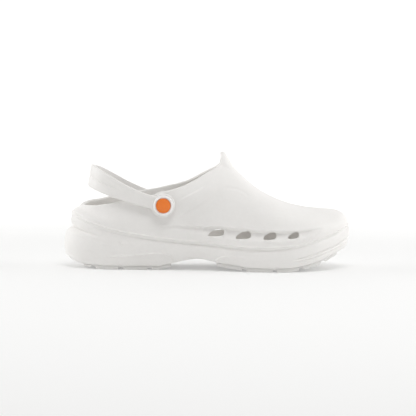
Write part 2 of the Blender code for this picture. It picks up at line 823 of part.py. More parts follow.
def build_strap(distances):
    """Strap swung back behind the heel, a band bent round in a tilted plane and more upright at its back."""
    stations = strap_stations(distances)
    backwards = Vector((-math.cos(STRAP_TILT), 0.0, math.sin(STRAP_TILT)))
    upwards = Vector((math.sin(STRAP_TILT), 0.0, math.cos(STRAP_TILT)))
    start = Vector((place_x(RIVET_ALONG), 0.0, RIVET_HEIGHT))
    half_thick = STRAP_THICKNESS / 2
    mesh = bmesh.new()
    loops = []
    for i, (centre, half, share, sag) in enumerate(stations):
        before = stations[max(i - 1, 0)][0]
        after = stations[min(i + 1, len(stations) - 1)][0]
        run = (after - before).normalized()
        upright = upwards.lerp(Vector((0.0, 0.0, 1.0)), STRAP_UPRIGHT * share).normalized()
        outwards = backwards * -run.y + Vector((0.0, run.x, 0.0))
        outwards = (outwards - upright * outwards.dot(upright)).normalized()
        middle = start + backwards * centre.x + Vector((0.0, centre.y, 0.0)) - upwards * sag
        bevel = min(STRAP_BEVEL, half * STRAP_BEVEL_LIMIT)
        groove = STRAP_GROOVE * share
        loop = [(half_thick, bevel - half), (half_thick, -STRAP_GROOVE_HALF), (half_thick - groove, 0.0),
                (half_thick, STRAP_GROOVE_HALF), (half_thick, half - bevel), (half_thick - bevel, half),
                (bevel - half_thick, half), (-half_thick, half - bevel), (-half_thick, bevel - half),
                (bevel - half_thick, -half), (half_thick - bevel, -half)]
        loops.append([mesh.verts.new(middle + outwards * out + upright * up) for out, up in loop])
    for first, second in zip(loops, loops[1:]):
        for k in range(len(first)):
            after = (k + 1) % len(first)
            mesh.faces.new((first[k], first[after], second[after], second[k]))
    mesh.faces.new(loops[0])
    mesh.faces.new(loops[-1][::-1])
    bmesh.ops.recalc_face_normals(mesh, faces=mesh.faces)
    data = bpy.data.meshes.new("heel_strap")
    mesh.to_mesh(data)
    mesh.free()
    return data


def turned(name, profile):
    """Solid turned about Z from a profile that runs from the axis, over the top, down to the axis."""
    data = bpy.data.meshes.new(name)
    points = [(radius, 0.0, height) for radius, height in profile]
    data.from_pydata(points, [(i, i + 1) for i in range(len(points) - 1)], [])
    thing = bpy.data.objects.new(name, data)
    screw = thing.modifiers.new("turn", "SCREW")
    screw.axis = "Z"
    screw.steps = ROUND_STEPS
    screw.render_steps = ROUND_STEPS
    screw.use_merge_vertices = True
    screw.merge_threshold = 0.00005
    return thing


def point_outwards(thing, side, x, distance, height):
    """Turn a piece's Z axis away from the foot and set it at a distance from the middle."""
    thing.location = (x, side * distance, height)
    thing.rotation_euler = (-side * math.pi / 2, 0.0, 0.0)


def rivet_profile(back):
    """Head over the strap, shank through strap and wall, and a flat back inside the shoe."""
    seat = STRAP_THICKNESS + 2 * CLEARANCE
    rim = seat + RIVET_HEAD_HEIGHT
    pocket = rim - DISC_DEPTH
    inside = DISC_RADIUS + CLEARANCE
    return [
        (0.0, pocket),
        (inside, pocket),
        (inside, rim),
        (RIVET_HEAD_RADIUS - RIVET_RIM_INSET * RIVET_RIM_HEIGHT, rim - RIVET_RIM_DROP * RIVET_RIM_HEIGHT),
        (RIVET_HEAD_RADIUS, rim - RIVET_RIM_HEIGHT),
        (RIVET_HEAD_RADIUS, seat),
        (RIVET_SHANK_RADIUS, seat),
        (RIVET_SHANK_RADIUS, back),
        (RIVET_BACK_RADIUS, back),
        (RIVET_BACK_RADIUS, back - RIVET_BACK_EDGE * RIVET_BACK_HEIGHT),
        (RIVET_BACK_FACE * RIVET_BACK_RADIUS, back - RIVET_BACK_HEIGHT),
        (0.0, back - RIVET_BACK_HEIGHT),
    ]


def disc_profile():
    """Low dome that lies in the rivet's head."""
    base = STRAP_THICKNESS + 2 * CLEARANCE + RIVET_HEAD_HEIGHT - DISC_DEPTH + CLEARANCE
    edge = base + DISC_DEPTH - CLEARANCE - DISC_CROWN / 2
    dome = [(share * DISC_RADIUS, edge + rise * DISC_CROWN) for share, rise in DISC_DOME]
    return dome + [(DISC_RADIUS, base), (0.0, base)]


def cylinder(name, radius, start, end, x, z):
    """Cylinder along Y between two places."""
    bpy.ops.mesh.primitive_cylinder_add(vertices=ROUND_STEPS, radius=radius, depth=abs(end - start),
                                        location=(x, (start + end) / 2, z),
                                        rotation=(math.pi / 2, 0.0, 0.0))
    thing = bpy.context.object
    thing.name = name
    return thing


def vent_cutter(name, row, side):
    """Rounded prism along Y that cuts one vent through the wall."""
    along, height_share, length_share, tall_share, slope = row
    x = place_x(along)
    height = height_share * SOLE_HEIGHT
    length = length_share * VENT_LENGTH
    tall = tall_share * VENT_HEIGHT
    reach = half_width_at(line_points(OUTLINE_READ[side]), x)
    outline = []
    for i in range(VENT_CORNERS):
        turn = 2 * math.pi * (i + 0.5) / VENT_CORNERS
        across = math.copysign(abs(math.cos(turn)) ** VENT_ROUNDNESS, math.cos(turn)) * length / 2
        rise = math.copysign(abs(math.sin(turn)) ** VENT_ROUNDNESS, math.sin(turn)) * tall / 2
        outline.append((x + across, height + rise + slope * across))
    mesh = bmesh.new()
    rings = [[mesh.verts.new((px, side * away, pz)) for px, pz in outline]
             for away in (reach + VENT_OVERSHOOT, reach - VENT_REACH)]
    mesh.faces.new(rings[0])
    mesh.faces.new(rings[1][::-1])
    for i in range(VENT_CORNERS):
        after = (i + 1) % VENT_CORNERS
        mesh.faces.new((rings[0][i], rings[1][i], rings[1][after], rings[0][after]))
    bmesh.ops.recalc_face_normals(mesh, faces=mesh.faces)
    data = bpy.data.meshes.new(name)
    mesh.to_mesh(data)
    mesh.free()
    return bpy.data.objects.new(name, data)


def groove_cutter(name, along):
    """Box that cuts one cross groove into a tread."""
    x = place_x(along)
    low = sole_height(TREAD_LINE, x)
    bpy.ops.mesh.primitive_cube_add(size=1.0, location=(x, 0.0, low))
    thing = bpy.context.object
    thing.name = name
    thing.scale = (GROOVE_WIDTH, 1.5 * BALL_WIDTH, 2 * GROOVE_DEPTH)
    return thing


def keep_as_guide(thing, collection):
    for other in list(thing.users_collection):
        other.objects.unlink(thing)
    collection.objects.link(thing)
    thing.hide_render = True
    thing.display_type = "WIRE"


def cut(thing, cutters, operation="DIFFERENCE"):
    for cutter in cutters:
        boolean = thing.modifiers.new(cutter.name, "BOOLEAN")
        boolean.operation = operation
        boolean.solver = "EXACT"
        boolean.object = cutter


def material(name, colour, roughness):
    made = bpy.data.materials.new(name)
    made.use_nodes = True
    shader = made.node_tree.nodes["Principled BSDF"]
    shader.inputs["Base Color"].default_value = (*colour, 1.0)
    shader.inputs["Roughness"].default_value = roughness
    shader.inputs["Metallic"].default_value = 0.0
    return made


def finish(thing, collection, look, smooth_degrees=40):
    for other in list(thing.users_collection):
        other.objects.unlink(thing)
    collection.objects.link(thing)
    thing.data.materials.append(look)
    if thing.data.polygons:
        thing.data.shade_smooth()
        thing.data.set_sharp_from_angle(angle=math.radians(smooth_degrees))
    return thing


def main():
    clear_scene()
    clog = bpy.data.collections.new("clog")
    guides = bpy.data.collections.new("clog_cutters")
    bpy.context.scene.collection.children.link(clog)
    bpy.context.scene.collection.children.link(guides)

    foam = material("white_foam", (0.84, 0.83, 0.81), 0.5)
    strap_foam = material("strap_foam", (0.85, 0.84, 0.82), 0.48)
    bed_foam = material("footbed_foam", (0.80, 0.79, 0.77), 0.65)
    rubber = material("tread_rubber", (0.78, 0.77, 0.75), 0.6)
    plastic = material("rivet_plastic", (0.86, 0.85, 0.84), 0.3)
    orange = material("orange_plastic", (0.78, 0.21, 0.05), 0.35)

    rivet_x = place_x(RIVET_ALONG)
    strap_distances = {}

    bore = cylinder("rivet_bore", RIVET_SHANK_RADIUS + CLEARANCE, -HALF_WIDTH, HALF_WIDTH,
                    rivet_x, RIVET_HEIGHT)
    keep_as_guide(bore, guides)

    shell = bpy.data.objects.new("upper_and_midsole", build_shell())
    vents = []
    for side, label in ((OUTER, "outer"), (INNER, "inner")):
        collar = half_width_at(line_points(COLLAR_READ[side]), rivet_x)
        back = collar - WALL
        boss_face = half_width_at(line_points(OUTLINE_READ[side]), rivet_x) + BOSS_RISE
        strap_distances[side] = boss_face + CLEARANCE + STRAP_THICKNESS / 2
        boss = cylinder("boss_" + label, BOSS_RADIUS, side * boss_face, side * back, rivet_x, RIVET_HEIGHT)
        keep_as_guide(boss, guides)
        cut(shell, [boss], "UNION")
        for number, row in enumerate(VENTS, 1):
            vents.append(vent_cutter("vent_%s_%d" % (label, number), row, side))
            keep_as_guide(vents[-1], guides)

        rivet = turned("rivet_" + label, rivet_profile(back - CLEARANCE - boss_face))
        disc = turned("rivet_disc_" + label, disc_profile())
        for piece, look in ((rivet, plastic), (disc, orange)):
            point_outwards(piece, side, rivet_x, boss_face, RIVET_HEIGHT)
            finish(piece, clog, look)
    cut(shell, vents + [bore])
    finish(shell, clog, foam)

    edges = {side: bottom_edge(side) for side in (OUTER, INNER)}
    tread_back = edges[OUTER][0].x + TREAD_BACK_GAP
    tread_front = edges[OUTER][-1].x - TREAD_TOE_GAP
    for name, start, end, places in (
            ("outsole_heel", tread_back, place_x(HEEL_TREAD_END), HEEL_GROOVES),
            ("outsole_forefoot", place_x(FOREFOOT_TREAD_START), tread_front, FOREFOOT_GROOVES)):
        tread = bpy.data.objects.new(name, build_tread(name, edges, start, end))
        grooves = []
        for number, along in enumerate(places, 1):
            grooves.append(groove_cutter("%s_groove_%d" % (name, number), along))
            keep_as_guide(grooves[-1], guides)
        cut(tread, grooves)
        finish(tread, clog, rubber, 25)

    finish(bpy.data.objects.new("insole", build_insole()), clog, bed_foam)

    strap = bpy.data.objects.new("heel_strap", build_strap(strap_distances))
    cut(strap, [bore])
    finish(strap, clog, strap_foam)


main()
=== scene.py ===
import math

import bmesh
import bpy
import numpy as np
from mathutils import Matrix, Vector


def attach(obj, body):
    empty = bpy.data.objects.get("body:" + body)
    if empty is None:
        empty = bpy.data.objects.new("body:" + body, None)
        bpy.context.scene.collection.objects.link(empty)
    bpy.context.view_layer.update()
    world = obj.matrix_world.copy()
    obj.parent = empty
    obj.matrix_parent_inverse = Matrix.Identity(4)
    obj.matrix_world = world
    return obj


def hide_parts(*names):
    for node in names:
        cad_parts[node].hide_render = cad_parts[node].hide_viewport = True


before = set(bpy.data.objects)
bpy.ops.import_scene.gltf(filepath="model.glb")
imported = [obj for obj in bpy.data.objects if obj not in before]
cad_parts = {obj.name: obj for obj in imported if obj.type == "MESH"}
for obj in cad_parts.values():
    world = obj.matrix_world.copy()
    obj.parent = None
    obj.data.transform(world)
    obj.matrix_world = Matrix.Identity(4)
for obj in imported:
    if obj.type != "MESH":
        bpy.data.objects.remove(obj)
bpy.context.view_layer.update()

# Driving sizes of the clog, in metres
LENGTH = 0.285
BALL_WIDTH = 0.106
HALF_WIDTH = BALL_WIDTH / 2
SOLE_HEIGHT = 0.050
INSTEP_HEIGHT = 0.107
WALL = 0.0038
CLEARANCE = 0.0003
MM = 0.001
SHARP_ANGLE = math.radians(50)

# Shell
SIDE_STEP = 0.010
FOOT_RISE = 0.0020
FOOT_SHARE = 0.92
RIM_CROWN = 0.0016
TAB_RISE = 0.0092
TAB_HALF_WIDTH = 0.0125
TAB_DEPTH = 0.012
TAB_ROUNDNESS = 1.2
INNER_COLLAR_LIFT = 0.0045
TOE_SWING = 0.0075
CREST_SWING_SHARE = 0.7
FILLET_REACH = 0.0050
FILLET_RISE = 0.0058

# Footbed
INSOLE_THICKNESS = 0.004
INSOLE_MARGIN = 0.0006
INSOLE_BEVEL = 0.0010
INSOLE_BEVEL_PARTS = 4

# Tread
TREAD_MARGIN = 0.0008
TREAD_BEVEL = 0.0009
TREAD_BEVEL_SHARE = 0.3
TREAD_SHARP_ANGLE = math.radians(45)
GROOVE_WIDTH = 0.004
GROOVE_DEPTH = 0.0022
GROOVE_EASE_IN = 0.0003
GROOVE_EASE_OUT = 0.0005
RIB_DEPTH = 0.0009
RIB_PITCH = 0.0052
RIB_WAVE = 0.0016
RIB_WAVES = 1.5

# Heel strap
STRAP_THICKNESS = 0.0040
STRAP_BACK_WIDTH = 0.0215
STRAP_SIDE_WIDTH = 0.0128
STRAP_LOBE_RADIUS = 0.0114
STRAP_REACH = 0.0778
STRAP_TILT = math.radians(20.5)
STRAP_SAG = 0.0024
STRAP_UPRIGHT = 0.5
STRAP_GROOVE = 0.0008
STRAP_GROOVE_HALF = 0.0016
STRAP_BEVEL = 0.0011
STRAP_BEVEL_LIMIT = 0.4
STRAP_GROOVE_LIMIT = 0.3
STRAP_CORNER_POWER = 14
STRAP_LOBE_ANGLES = range(6, 88, 6)
STRAP_PARTS = 14

# Rivets
RIVET_X = (0.3495 - 0.5) * LENGTH
RIVET_HEIGHT = 0.0643
RIVET_HEAD_RADIUS = 0.010
RIVET_HEAD_HEIGHT = 0.0032
RIVET_BACK_RADIUS = 0.0075
RIVET_BACK_HEIGHT = 0.0016
RIVET_SHANK_RADIUS = 0.0036
RIVET_HEAD_EDGE = 0.0005
RIVET_BACK_EDGE = 0.0009
DISC_RADIUS = 0.0072
DISC_DEPTH = 0.0016
DISC_CROWN = 0.0005
DISC_EDGE = 0.0004
DISC_RING_RADIUS = 0.0056
DISC_RING_WIDTH = 0.00035
DISC_RING_DEPTH = 0.00022
DISC_PARTS = 24
BOSS_RADIUS = 0.0105
BOSS_RISE = 0.0003
BOSS_FLANK = ((-0.0006, 0.0), (0.0, -0.0006), (0.0002, -0.0020), (0.0016, -0.0036), (0.0030, -0.0048))
BORE_OVERSHOOT = 0.010
SHELL_BORE_DEPTH = 0.030
STRAP_BORE_DEPTH = 0.001

# Mesh density
TONGUE_SHARE = 0.515
COLUMN_RUNS = ((0.440, 120), (TONGUE_SHARE, 50), (0.545, 18), (1.0, 96))
LEVEL_RUNS = ((0.12, 6), (0.60, 16), (0.85, 10), (1.0, 13))
WALL_ROWS = 60
LINING_ROWS = 20
SOFTEN_ROUNDS = 500
SOFTEN_TOP = 0.10
SOFTEN_SPREAD = 0.05
FOOT_ROWS = 4
FLAT_ROWS = 4
RIM_ROWS = 6
PATH_PARTS = 40
LOOK_STEP = 0.004
COLLAR_SPREAD = 0.25
SPINE_SPREAD = 0.12
SPINE_MARGIN = 0.05
SPINE_SWING_SHARE = 0.5
ROUND_STEPS = 64

OUTER = -1
INNER = 1
SIDES = (OUTER, INNER)

# Widest outline seen from above: along as a share of LENGTH, half widths as shares of HALF_WIDTH
OUTLINE = [
    # along, outer, inner
    (0.011, 0.275, 0.275),
    (0.035, 0.472, 0.472),
    (0.070, 0.597, 0.603),
    (0.123, 0.678, 0.672),
    (0.210, 0.700, 0.668),
    (0.300, 0.690, 0.637),
    (0.386, 0.690, 0.632),
    (0.474, 0.740, 0.680),
    (0.561, 0.850, 0.800),
    (0.649, 0.953, 0.925),
    (0.719, 1.000, 0.990),
    (0.779, 0.972, 1.000),
    (0.835, 0.890, 0.970),
    (0.891, 0.745, 0.900),
    (0.937, 0.550, 0.780),
    (0.972, 0.345, 0.600),
    (0.993, 0.115, 0.385),
]

# Collar edge seen from above
COLLAR_PLAN = [
    # along, outer, inner
    (0.0560, 0.000, 0.000),
    (0.0640, 0.226, 0.226),
    (0.0950, 0.430, 0.430),
    (0.1500, 0.550, 0.535),
    (0.2100, 0.610, 0.580),
    (0.2800, 0.634, 0.595),
    (0.3440, 0.636, 0.592),
    (0.4000, 0.612, 0.572),
    (0.4560, 0.552, 0.530),
    (0.5020, 0.450, 0.440),
    (0.5300, 0.342, 0.338),
    (0.5480, 0.192, 0.190),
    (0.5544, 0.000, 0.000),
]

# Lines of the sole seen from the side, as shares of SOLE_HEIGHT
SOLE_LINES = [
    # along, tread, bottom, floor, bead
    (0.0000, 0.160, 0.180, 0.440, 1.070),
    (0.0370, 0.090, 0.112, 0.430, 1.056),
    (0.0680, 0.052, 0.078, 0.420, 0.984),
    (0.1105, 0.020, 0.084, 0.410, 0.900),
    (0.1456, 0.000, 0.076, 0.404, 0.832),
    (0.1950, 0.000, 0.076, 0.400, 0.762),
    (0.2650, 0.000, 0.076, 0.400, 0.694),
    (0.3350, 0.000, 0.076, 0.406, 0.636),
    (0.3560, 0.036, 0.106, 0.410, 0.622),
    (0.3840, 0.070, 0.140, 0.416, 0.604),
    (0.4260, 0.130, 0.200, 0.418, 0.580),
    (0.4720, 0.160, 0.234, 0.408, 0.566),
    (0.5246, 0.116, 0.186, 0.376, 0.540),
    (0.5526, 0.082, 0.154, 0.352, 0.526),
    (0.6090, 0.036, 0.112, 0.314, 0.498),
    (0.6510, 0.000, 0.076, 0.296, 0.488),
    (0.6930, 0.000, 0.076, 0.290, 0.484),
    (0.7737, 0.000, 0.076, 0.300, 0.506),
    (0.8333, 0.048, 0.122, 0.340, 0.560),
    (0.8895, 0.130, 0.202, 0.416, 0.648),
    (0.9456, 0.272, 0.332, 0.530, 0.754),
    (0.9737, 0.360, 0.385, 0.610, 0.836),
    (1.0000, 0.480, 0.500, 0.700, 0.896),
]
TREAD_LINE, BOTTOM_LINE, FLOOR_LINE, BEAD_LINE = 1, 2, 3, 4

# Collar edge seen from the side, as shares of INSTEP_HEIGHT
COLLAR_LINE = [
    # along, height
    (0.0560, 0.578),
    (0.1105, 0.577),
    (0.1386, 0.586),
    (0.1947, 0.614),
    (0.3000, 0.670),
    (0.3700, 0.726),
    (0.4228, 0.778),
    (0.4754, 0.858),
    (0.5035, 0.902),
    (0.5316, 0.944),
    (0.5544, 1.000),
]

# Crest of the vamp seen from the side, as shares of INSTEP_HEIGHT
CREST_LINE = [
    # along, height
    (0.5544, 1.000),
    (0.5807, 0.966),
    (0.6088, 0.899),
    (0.6368, 0.830),
    (0.6649, 0.768),
    (0.6930, 0.719),
    (0.7491, 0.645),
    (0.8053, 0.598),
    (0.8614, 0.573),
    (0.9280, 0.560),
]

# How far the sole's side stands in from the widest outline, as shares of SIDE_STEP
SIDE_STEPS = [
    # level, back, corner, side, waist, ball, toe corner, toe tip
    (0.000, 1.95, 1.40, 0.30, 0.32, 0.30, 0.65, 1.00),
    (0.045, 1.05, 0.80, 0.17, 0.22, 0.20, 0.45, 0.65),
    (0.110, 0.55, 0.42, 0.12, 0.18, 0.16, 0.30, 0.40),
    (0.200, 0.15, 0.13, 0.08, 0.14, 0.12, 0.20, 0.22),
    (0.420, 0.00, 0.00, 0.00, 0.08, 0.06, 0.08, 0.06),
    (0.640, 0.20, 0.18, 0.05, 0.06, 0.06, 0.02, 0.00),
    (0.700, 0.42, 0.36, 0.08, 0.07, 0.07, 0.01, 0.00),
    (0.750, 0.80, 0.64, 0.12, 0.08, 0.08, 0.01, 0.00),
    (0.890, 0.65, 0.50, 0.14, 0.12, 0.10, 0.03, 0.00),
    (0.960, 0.70, 0.56, 0.05, 0.01, 0.00, 0.05, 0.06),
    (1.000, 0.78, 0.64, 0.12, 0.07, 0.06, 0.14, 0.16),
]
SIDE_STEP_ALONG = (0.0, 0.035, 0.160, 0.420, 0.710, 0.945, 1.0)

# How the wall rises from its foot and how it meets the collar or crest, from the heel to the toe
WALL_LEAN = [
    # share of columns, steepness in degrees, top handle, foot handle, turn to the front
    (0.000, 48.0, 0.34, 0.45, 0.00),
    (0.150, 64.0, 0.32, 0.45, 0.00),
    (0.280, 80.0, 0.35, 0.50, 0.00),
    (0.370, 76.0, 0.36, 0.52, 0.06),
    (0.430, 58.0, 0.40, 0.57, 0.36),
    (0.480, 30.0, 0.46, 0.62, 0.84),
    (0.515, 19.0, 0.52, 0.66, 1.00),
    (0.560, 0.0, 0.58, 0.68, 0.72),
    (0.620, 0.0, 0.66, 0.68, 0.28),
    (0.720, 0.0, 0.68, 0.67, 0.00),
    (0.900, 0.0, 0.62, 0.62, 0.00),
    (1.000, 0.0, 0.56, 0.56, 0.00),
]
TONGUE_CORNER = math.radians(45)

# Fillet between the inner wall and the floor
FLOOR_FILLET = [
    # inset as a share of FILLET_REACH, rise as a share of FILLET_RISE
    (0.16, 1.000),
    (0.26, 0.620),
    (0.48, 0.276),
    (0.72, 0.080),
    (1.00, 0.000),
]

# Vents of each side, from the instep to the toe, in millimetres from the middle and the ground
VENTS = [
    # x, z, length, height, slope
    (9.0, 38.0, 16.2, 7.0, 0.06),
    (35.8, 36.2, 15.6, 7.6, 0.05),
    (61.7, 35.8, 13.4, 7.2, 0.07),
    (85.0, 36.4, 11.2, 6.2, 0.10),
]
VENT_CORNERS = (
    (-0.50, -0.34), (-0.36, -0.50), (0.34, -0.50), (0.50, -0.26), (0.50, 0.22), (0.36, 0.50),
    (0.00, 0.48), (-0.36, 0.10),
)
VENT_ROUNDS = 3
VENT_REACH = 16.0
VENT_OVERSHOOT = 5.0
LIP_HEIGHT = 0.8

# Bead along the top of the sole and the groove under it, in millimetres
BEAD_HEIGHT, BEAD_ABOVE, BEAD_WIDTH = 1.7, 0.1, 0.85
BEAD_GROOVE_DEPTH, BEAD_GROOVE_BELOW, BEAD_GROOVE_WIDTH = 0.5, 2.6, 1.1

# Shallow channel that the vents lie in, with a soft brow over it, in millimetres
CHANNEL_GAIN = 1.8
CHANNEL_RAMP = 0.45
BROW_GAIN, BROW_ABOVE, BROW_WIDTH = 0.35, 1.6, 1.8
CHANNEL = [
    # x, lower edge, upper edge, depth
    (-52.0, 42.3, 43.0, 0.0),
    (-37.0, 40.5, 43.4, 0.35),
    (-17.0, 37.9, 43.2, 0.8),
    (-4.0, 36.4, 43.2, 1.2),
    (8.0, 33.6, 43.4, 1.6),
    (26.0, 31.0, 42.7, 1.7),
    (41.0, 30.6, 41.2, 1.7),
    (55.0, 30.6, 40.2, 1.7),
    (73.0, 31.0, 40.0, 1.6),
    (93.0, 32.4, 40.6, 1.2),
    (105.0, 36.0, 41.9, 0.6),
    (116.0, 41.6, 43.4, 0.0),
]

# How far a pressed step fades out below its edge, in millimetres
LIP_FALL = 3.0

# Lines pressed into the side, in millimetres: each is a curve of x and z on both sides of the shoe
LINES = [
    # kind, depth, width, fade at the back, fade at the front, points
    ("groove", 0.9, 0.8, 1.0, 9.0, (
        (-138, 60.0), (-133, 56.4), (-129, 52.9), (-122, 48.8), (-117, 46.5), (-108, 44.6))),
    ("groove", 1.0, 1.0, 1.0, 12.0, (
        (-150, 45.0), (-141, 43.0), (-135, 41.4), (-126, 38.4), (-117, 35.8), (-104, 32.4))),
    ("lip", 0.8, 0.5, 5.0, 14.0, (
        (-136, 36.4), (-125, 32.6), (-112, 28.6), (-100, 25.6), (-84, 23.2))),
    ("groove", 1.3, 0.8, 10.0, 1.0, (
        (83, 11.7), (93, 13.6), (105, 16.8), (113, 19.5), (121, 22.2), (129, 24.7), (134, 27.7),
        (138, 29.8), (143, 31.5))),
    ("groove", 1.0, 0.7, 10.0, 1.0, (
        (86, 9.4), (93, 10.8), (105, 13.6), (113, 16.2), (121, 18.9), (129, 21.6), (136, 25.0),
        (143, 28.0))),
    ("lip", 1.6, 0.4, 14.0, 2.0, (
        (-106, 12.0), (-102, 12.9), (-77, 14.8), (-57, 16.7), (-47, 17.1), (-40, 16.1), (-35, 13.6),
        (-31, 9.6))),
    ("lip", 1.2, 0.4, 2.0, 14.0, (
        (8, 8.8), (9, 10.5), (12, 13.2), (15, 14.6), (21, 15.3), (33, 15.1), (44, 14.6))),
    ("groove", 0.4, 0.9, 5.0, 4.0, (
        (15, 80.6), (19, 81.6), (23, 81.6), (28, 81.0), (33, 79.4), (38, 76.6), (41, 73.6), (43, 69.8))),
]

# Raised band that runs up the side of the instep, in millimetres
BAND = [
    # x, lower edge, upper edge, height
    (-32.0, 52.0, 66.0, 0.0),
    (-25.0, 55.5, 70.0, 0.55),
    (-15.0, 60.8, 75.4, 0.75),
    (-5.0, 66.8, 81.0, 0.75),
    (2.0, 71.6, 85.8, 0.55),
    (10.0, 77.0, 91.0, 0.0),
]

# Small marks on the side of the heel, in millimetres: a dimple, a pin and an oval recess
MARKS = [
    # x, z, half length, half height, height, share where it starts to fade, share where it ends
    (-85.5, 26.0, 1.0, 1.0, -0.80, 0.60, 1.90),
    (-83.0, 25.5, 1.0, 1.0, 0.70, 0.30, 1.50),
    (-77.0, 24.3, 4.2, 2.0, -0.45, 0.75, 1.10),
]

HEEL_GROOVES = (0.1070, 0.2018, 0.3035)
FOREFOOT_GROOVES = (0.6298, 0.7351, 0.8263, 0.9035)
HEEL_TREAD = (0.0720, 0.3750)
FOREFOOT_TREAD = (0.5350, 0.9560)

# Strap seen square to its own plane, from the rivet to the back of the heel
STRAP_PLAN = [
    # share of STRAP_REACH, share of the rivet's distance, width (0 side, 1 back), share of STRAP_SAG
    (0.00, 1.000, 0.00, 0.00),
    (0.26, 0.985, 0.05, 0.80),
    (0.50, 0.930, 0.32, 1.00),
    (0.72, 0.835, 0.70, 0.65),
    (0.885, 0.650, 0.95, 0.25),
    (0.970, 0.360, 1.00, 0.05),
    (1.000, 0.000, 1.00, 0.00),
]

# Soft boxes round the shoe, and the lamps for the light that thin foam lets into the toe
SOFTBOXES = [
    # name, place, target, size, watts
    ("top_box", (0.0, 0.15, 1.5), (0.0, 0.0, 0.05), (2.2, 1.8), 5.0),
    ("front_box", (0.2, -1.0, 1.7), (0.03, 0.0, 0.05), (1.0, 0.6), 11.0),
    ("left_box", (-1.5, 0.1, 0.55), (-0.05, 0.0, 0.05), (1.2, 1.0), 10.0),
    ("right_box", (1.5, 0.1, 0.6), (0.05, 0.0, 0.05), (1.2, 1.0), 10.0),
]
FILL_STRENGTH = 0.34
FOAM_GLOW_PLACES = (0.030, 0.062, 0.088)
FOAM_GLOW_HEIGHT = 0.040
FOAM_GLOW_RADIUS = 0.008
FOAM_GLOW_WATTS = 0.0024

# Paper under and behind the shoe
SWEEP_START = -8.0
SWEEP_DEPTH = 4.6
SWEEP_RISE = 4.0
SWEEP_RADIUS = 1.2
SWEEP_HALF = 8.0
SWEEP_PARTS = 12
GLOW_FROM, GLOW_TO = 0.15, 1.3
GLOW_NEAR, GLOW_FAR = 0.21, 0.65

# Camera
LENS = 200.0
SENSOR = 36.0
FRAME_WIDTH = 0.416
ELEVATION = math.radians(4.0)
ROLL = math.radians(0.53)
AIM = (0.001, 0.0, 0.0595)


def smooth(low, high, value):
    """0 below low, 1 above high and an S-curve between them."""
    t = np.clip((value - low) / (high - low), 0.0, 1.0)
    return t * t * (3 - 2 * t)


def swell(away, width):
    """1 in the middle of a line, fading to 0 on both sides."""
    return np.exp(-(away / width) ** 2)


def hermite(knots, values, at):
    """Curve through values at knots that neither overshoots nor bends a level stretch."""
    knots = np.asarray(knots, float)
    values = np.asarray(values, float)
    flat = values.ndim == 1
    if flat:
        values = values[:, None]
    widths = np.diff(knots)[:, None]
    steps = np.diff(values, axis=0) / widths
    before, after = steps[:-1], steps[1:]
    total = np.where(before * after > 0, before + after, 1.0)
    inner = np.where(before * after > 0, 2 * before * after / total, 0.0)
    slopes = np.concatenate([steps[:1], inner, steps[-1:]])
    at = np.clip(np.asarray(at, float), knots[0], knots[-1])
    place = np.clip(np.searchsorted(knots, at, side="left") - 1, 0, len(knots) - 2)
    t = ((at - knots[place]) / widths[place, 0])[..., None]
    rise = t * t * (3 - 2 * t)
    made = (values[place] * (1 - rise) + values[place + 1] * rise
            + widths[place] * (slopes[place] * t * (1 - t) ** 2 - slopes[place + 1] * t * t * (1 - t)))
    return made[..., 0] if flat else made


def row_curve(rows, column, at):
    return hermite([row[0] for row in rows], [row[column] for row in rows], at)


def place_x(along):
    return (along - 0.5) * LENGTH


def place_along(x):
    return x / LENGTH + 0.5


def sole_height(column, x):
    return row_curve(SOLE_LINES, column, place_along(x)) * SOLE_HEIGHT


def smooth_path(points, parts):
    """Curve through points, with parts steps between each two."""
    points = np.asarray(points, float)
    padded = np.vstack([2 * points[0] - points[1], points, 2 * points[-1] - points[-2]])
    t = (np.arange(parts) / parts)[:, None]
    path = []
    for i in range(len(points) - 1):
        before, start, end, after = padded[i:i + 4]
        path.append(0.5 * (2 * start + (end - before) * t
                           + (2 * before - 5 * start + 4 * end - after) * t * t
                           + (3 * start - before - 3 * end + after) * t ** 3))
    return np.vstack(path + [points[-1:]])


def read_path(path, share):
    """Points at shares of a path's length."""
    lengths = np.concatenate([[0.0], np.cumsum(np.linalg.norm(np.diff(path, axis=0), axis=1))])
    goal = np.clip(share, 0.0, 1.0) * lengths[-1]
    return np.stack([np.interp(goal, lengths, path[:, k]) for k in range(path.shape[1])], axis=-1)


def half_loop(rows, side, start, end):
    """One side of a closed outline, with its mirrored neighbours so that the ends stay round."""
    column = 1 if side == OUTER else 2
    other = 2 if side == OUTER else 1
    points = [(place_x(row[0]), side * row[column] * HALF_WIDTH) for row in rows]
    across_start = (points[0][0], -side * rows[0][other] * HALF_WIDTH)
    across_end = (points[-1][0], -side * rows[-1][other] * HALF_WIDTH)
    path = smooth_path([across_start, start] + points + [end, across_end], PATH_PARTS)
    return path[PATH_PARTS:-PATH_PARTS]


def outline_path(side):
    path = half_loop(OUTLINE, side, (place_x(0.0), 0.0), (place_x(1.0), TOE_SWING))
    near = side * path[:, 1] > 0
    path[near, 1] *= HALF_WIDTH / (side * path[:, 1]).max()
    return path


OUTLINE_PATH = {side: outline_path(side) for side in SIDES}
COLLAR_PATH = {side: half_loop(COLLAR_PLAN[1:-1], side, (place_x(COLLAR_PLAN[0][0]), 0.0),
                               (place_x(COLLAR_PLAN[-1][0]), 0.0)) for side in SIDES}


def run_shares(runs):
    """Shares from 0 to 1 in runs of even steps, each given by its end and its count."""
    shares = [np.array([0.0])]
    start = 0.0
    for end, count in runs:
        shares.append(start + (end - start) * np.arange(1, count + 1) / count)
        start = end
    return np.concatenate(shares)


SHARES = run_shares(COLUMN_RUNS)
LAST = len(SHARES) - 1
TONGUE_COLUMN = int(np.argmin(abs(SHARES - TONGUE_SHARE)))
LEVELS = run_shares(LEVEL_RUNS)


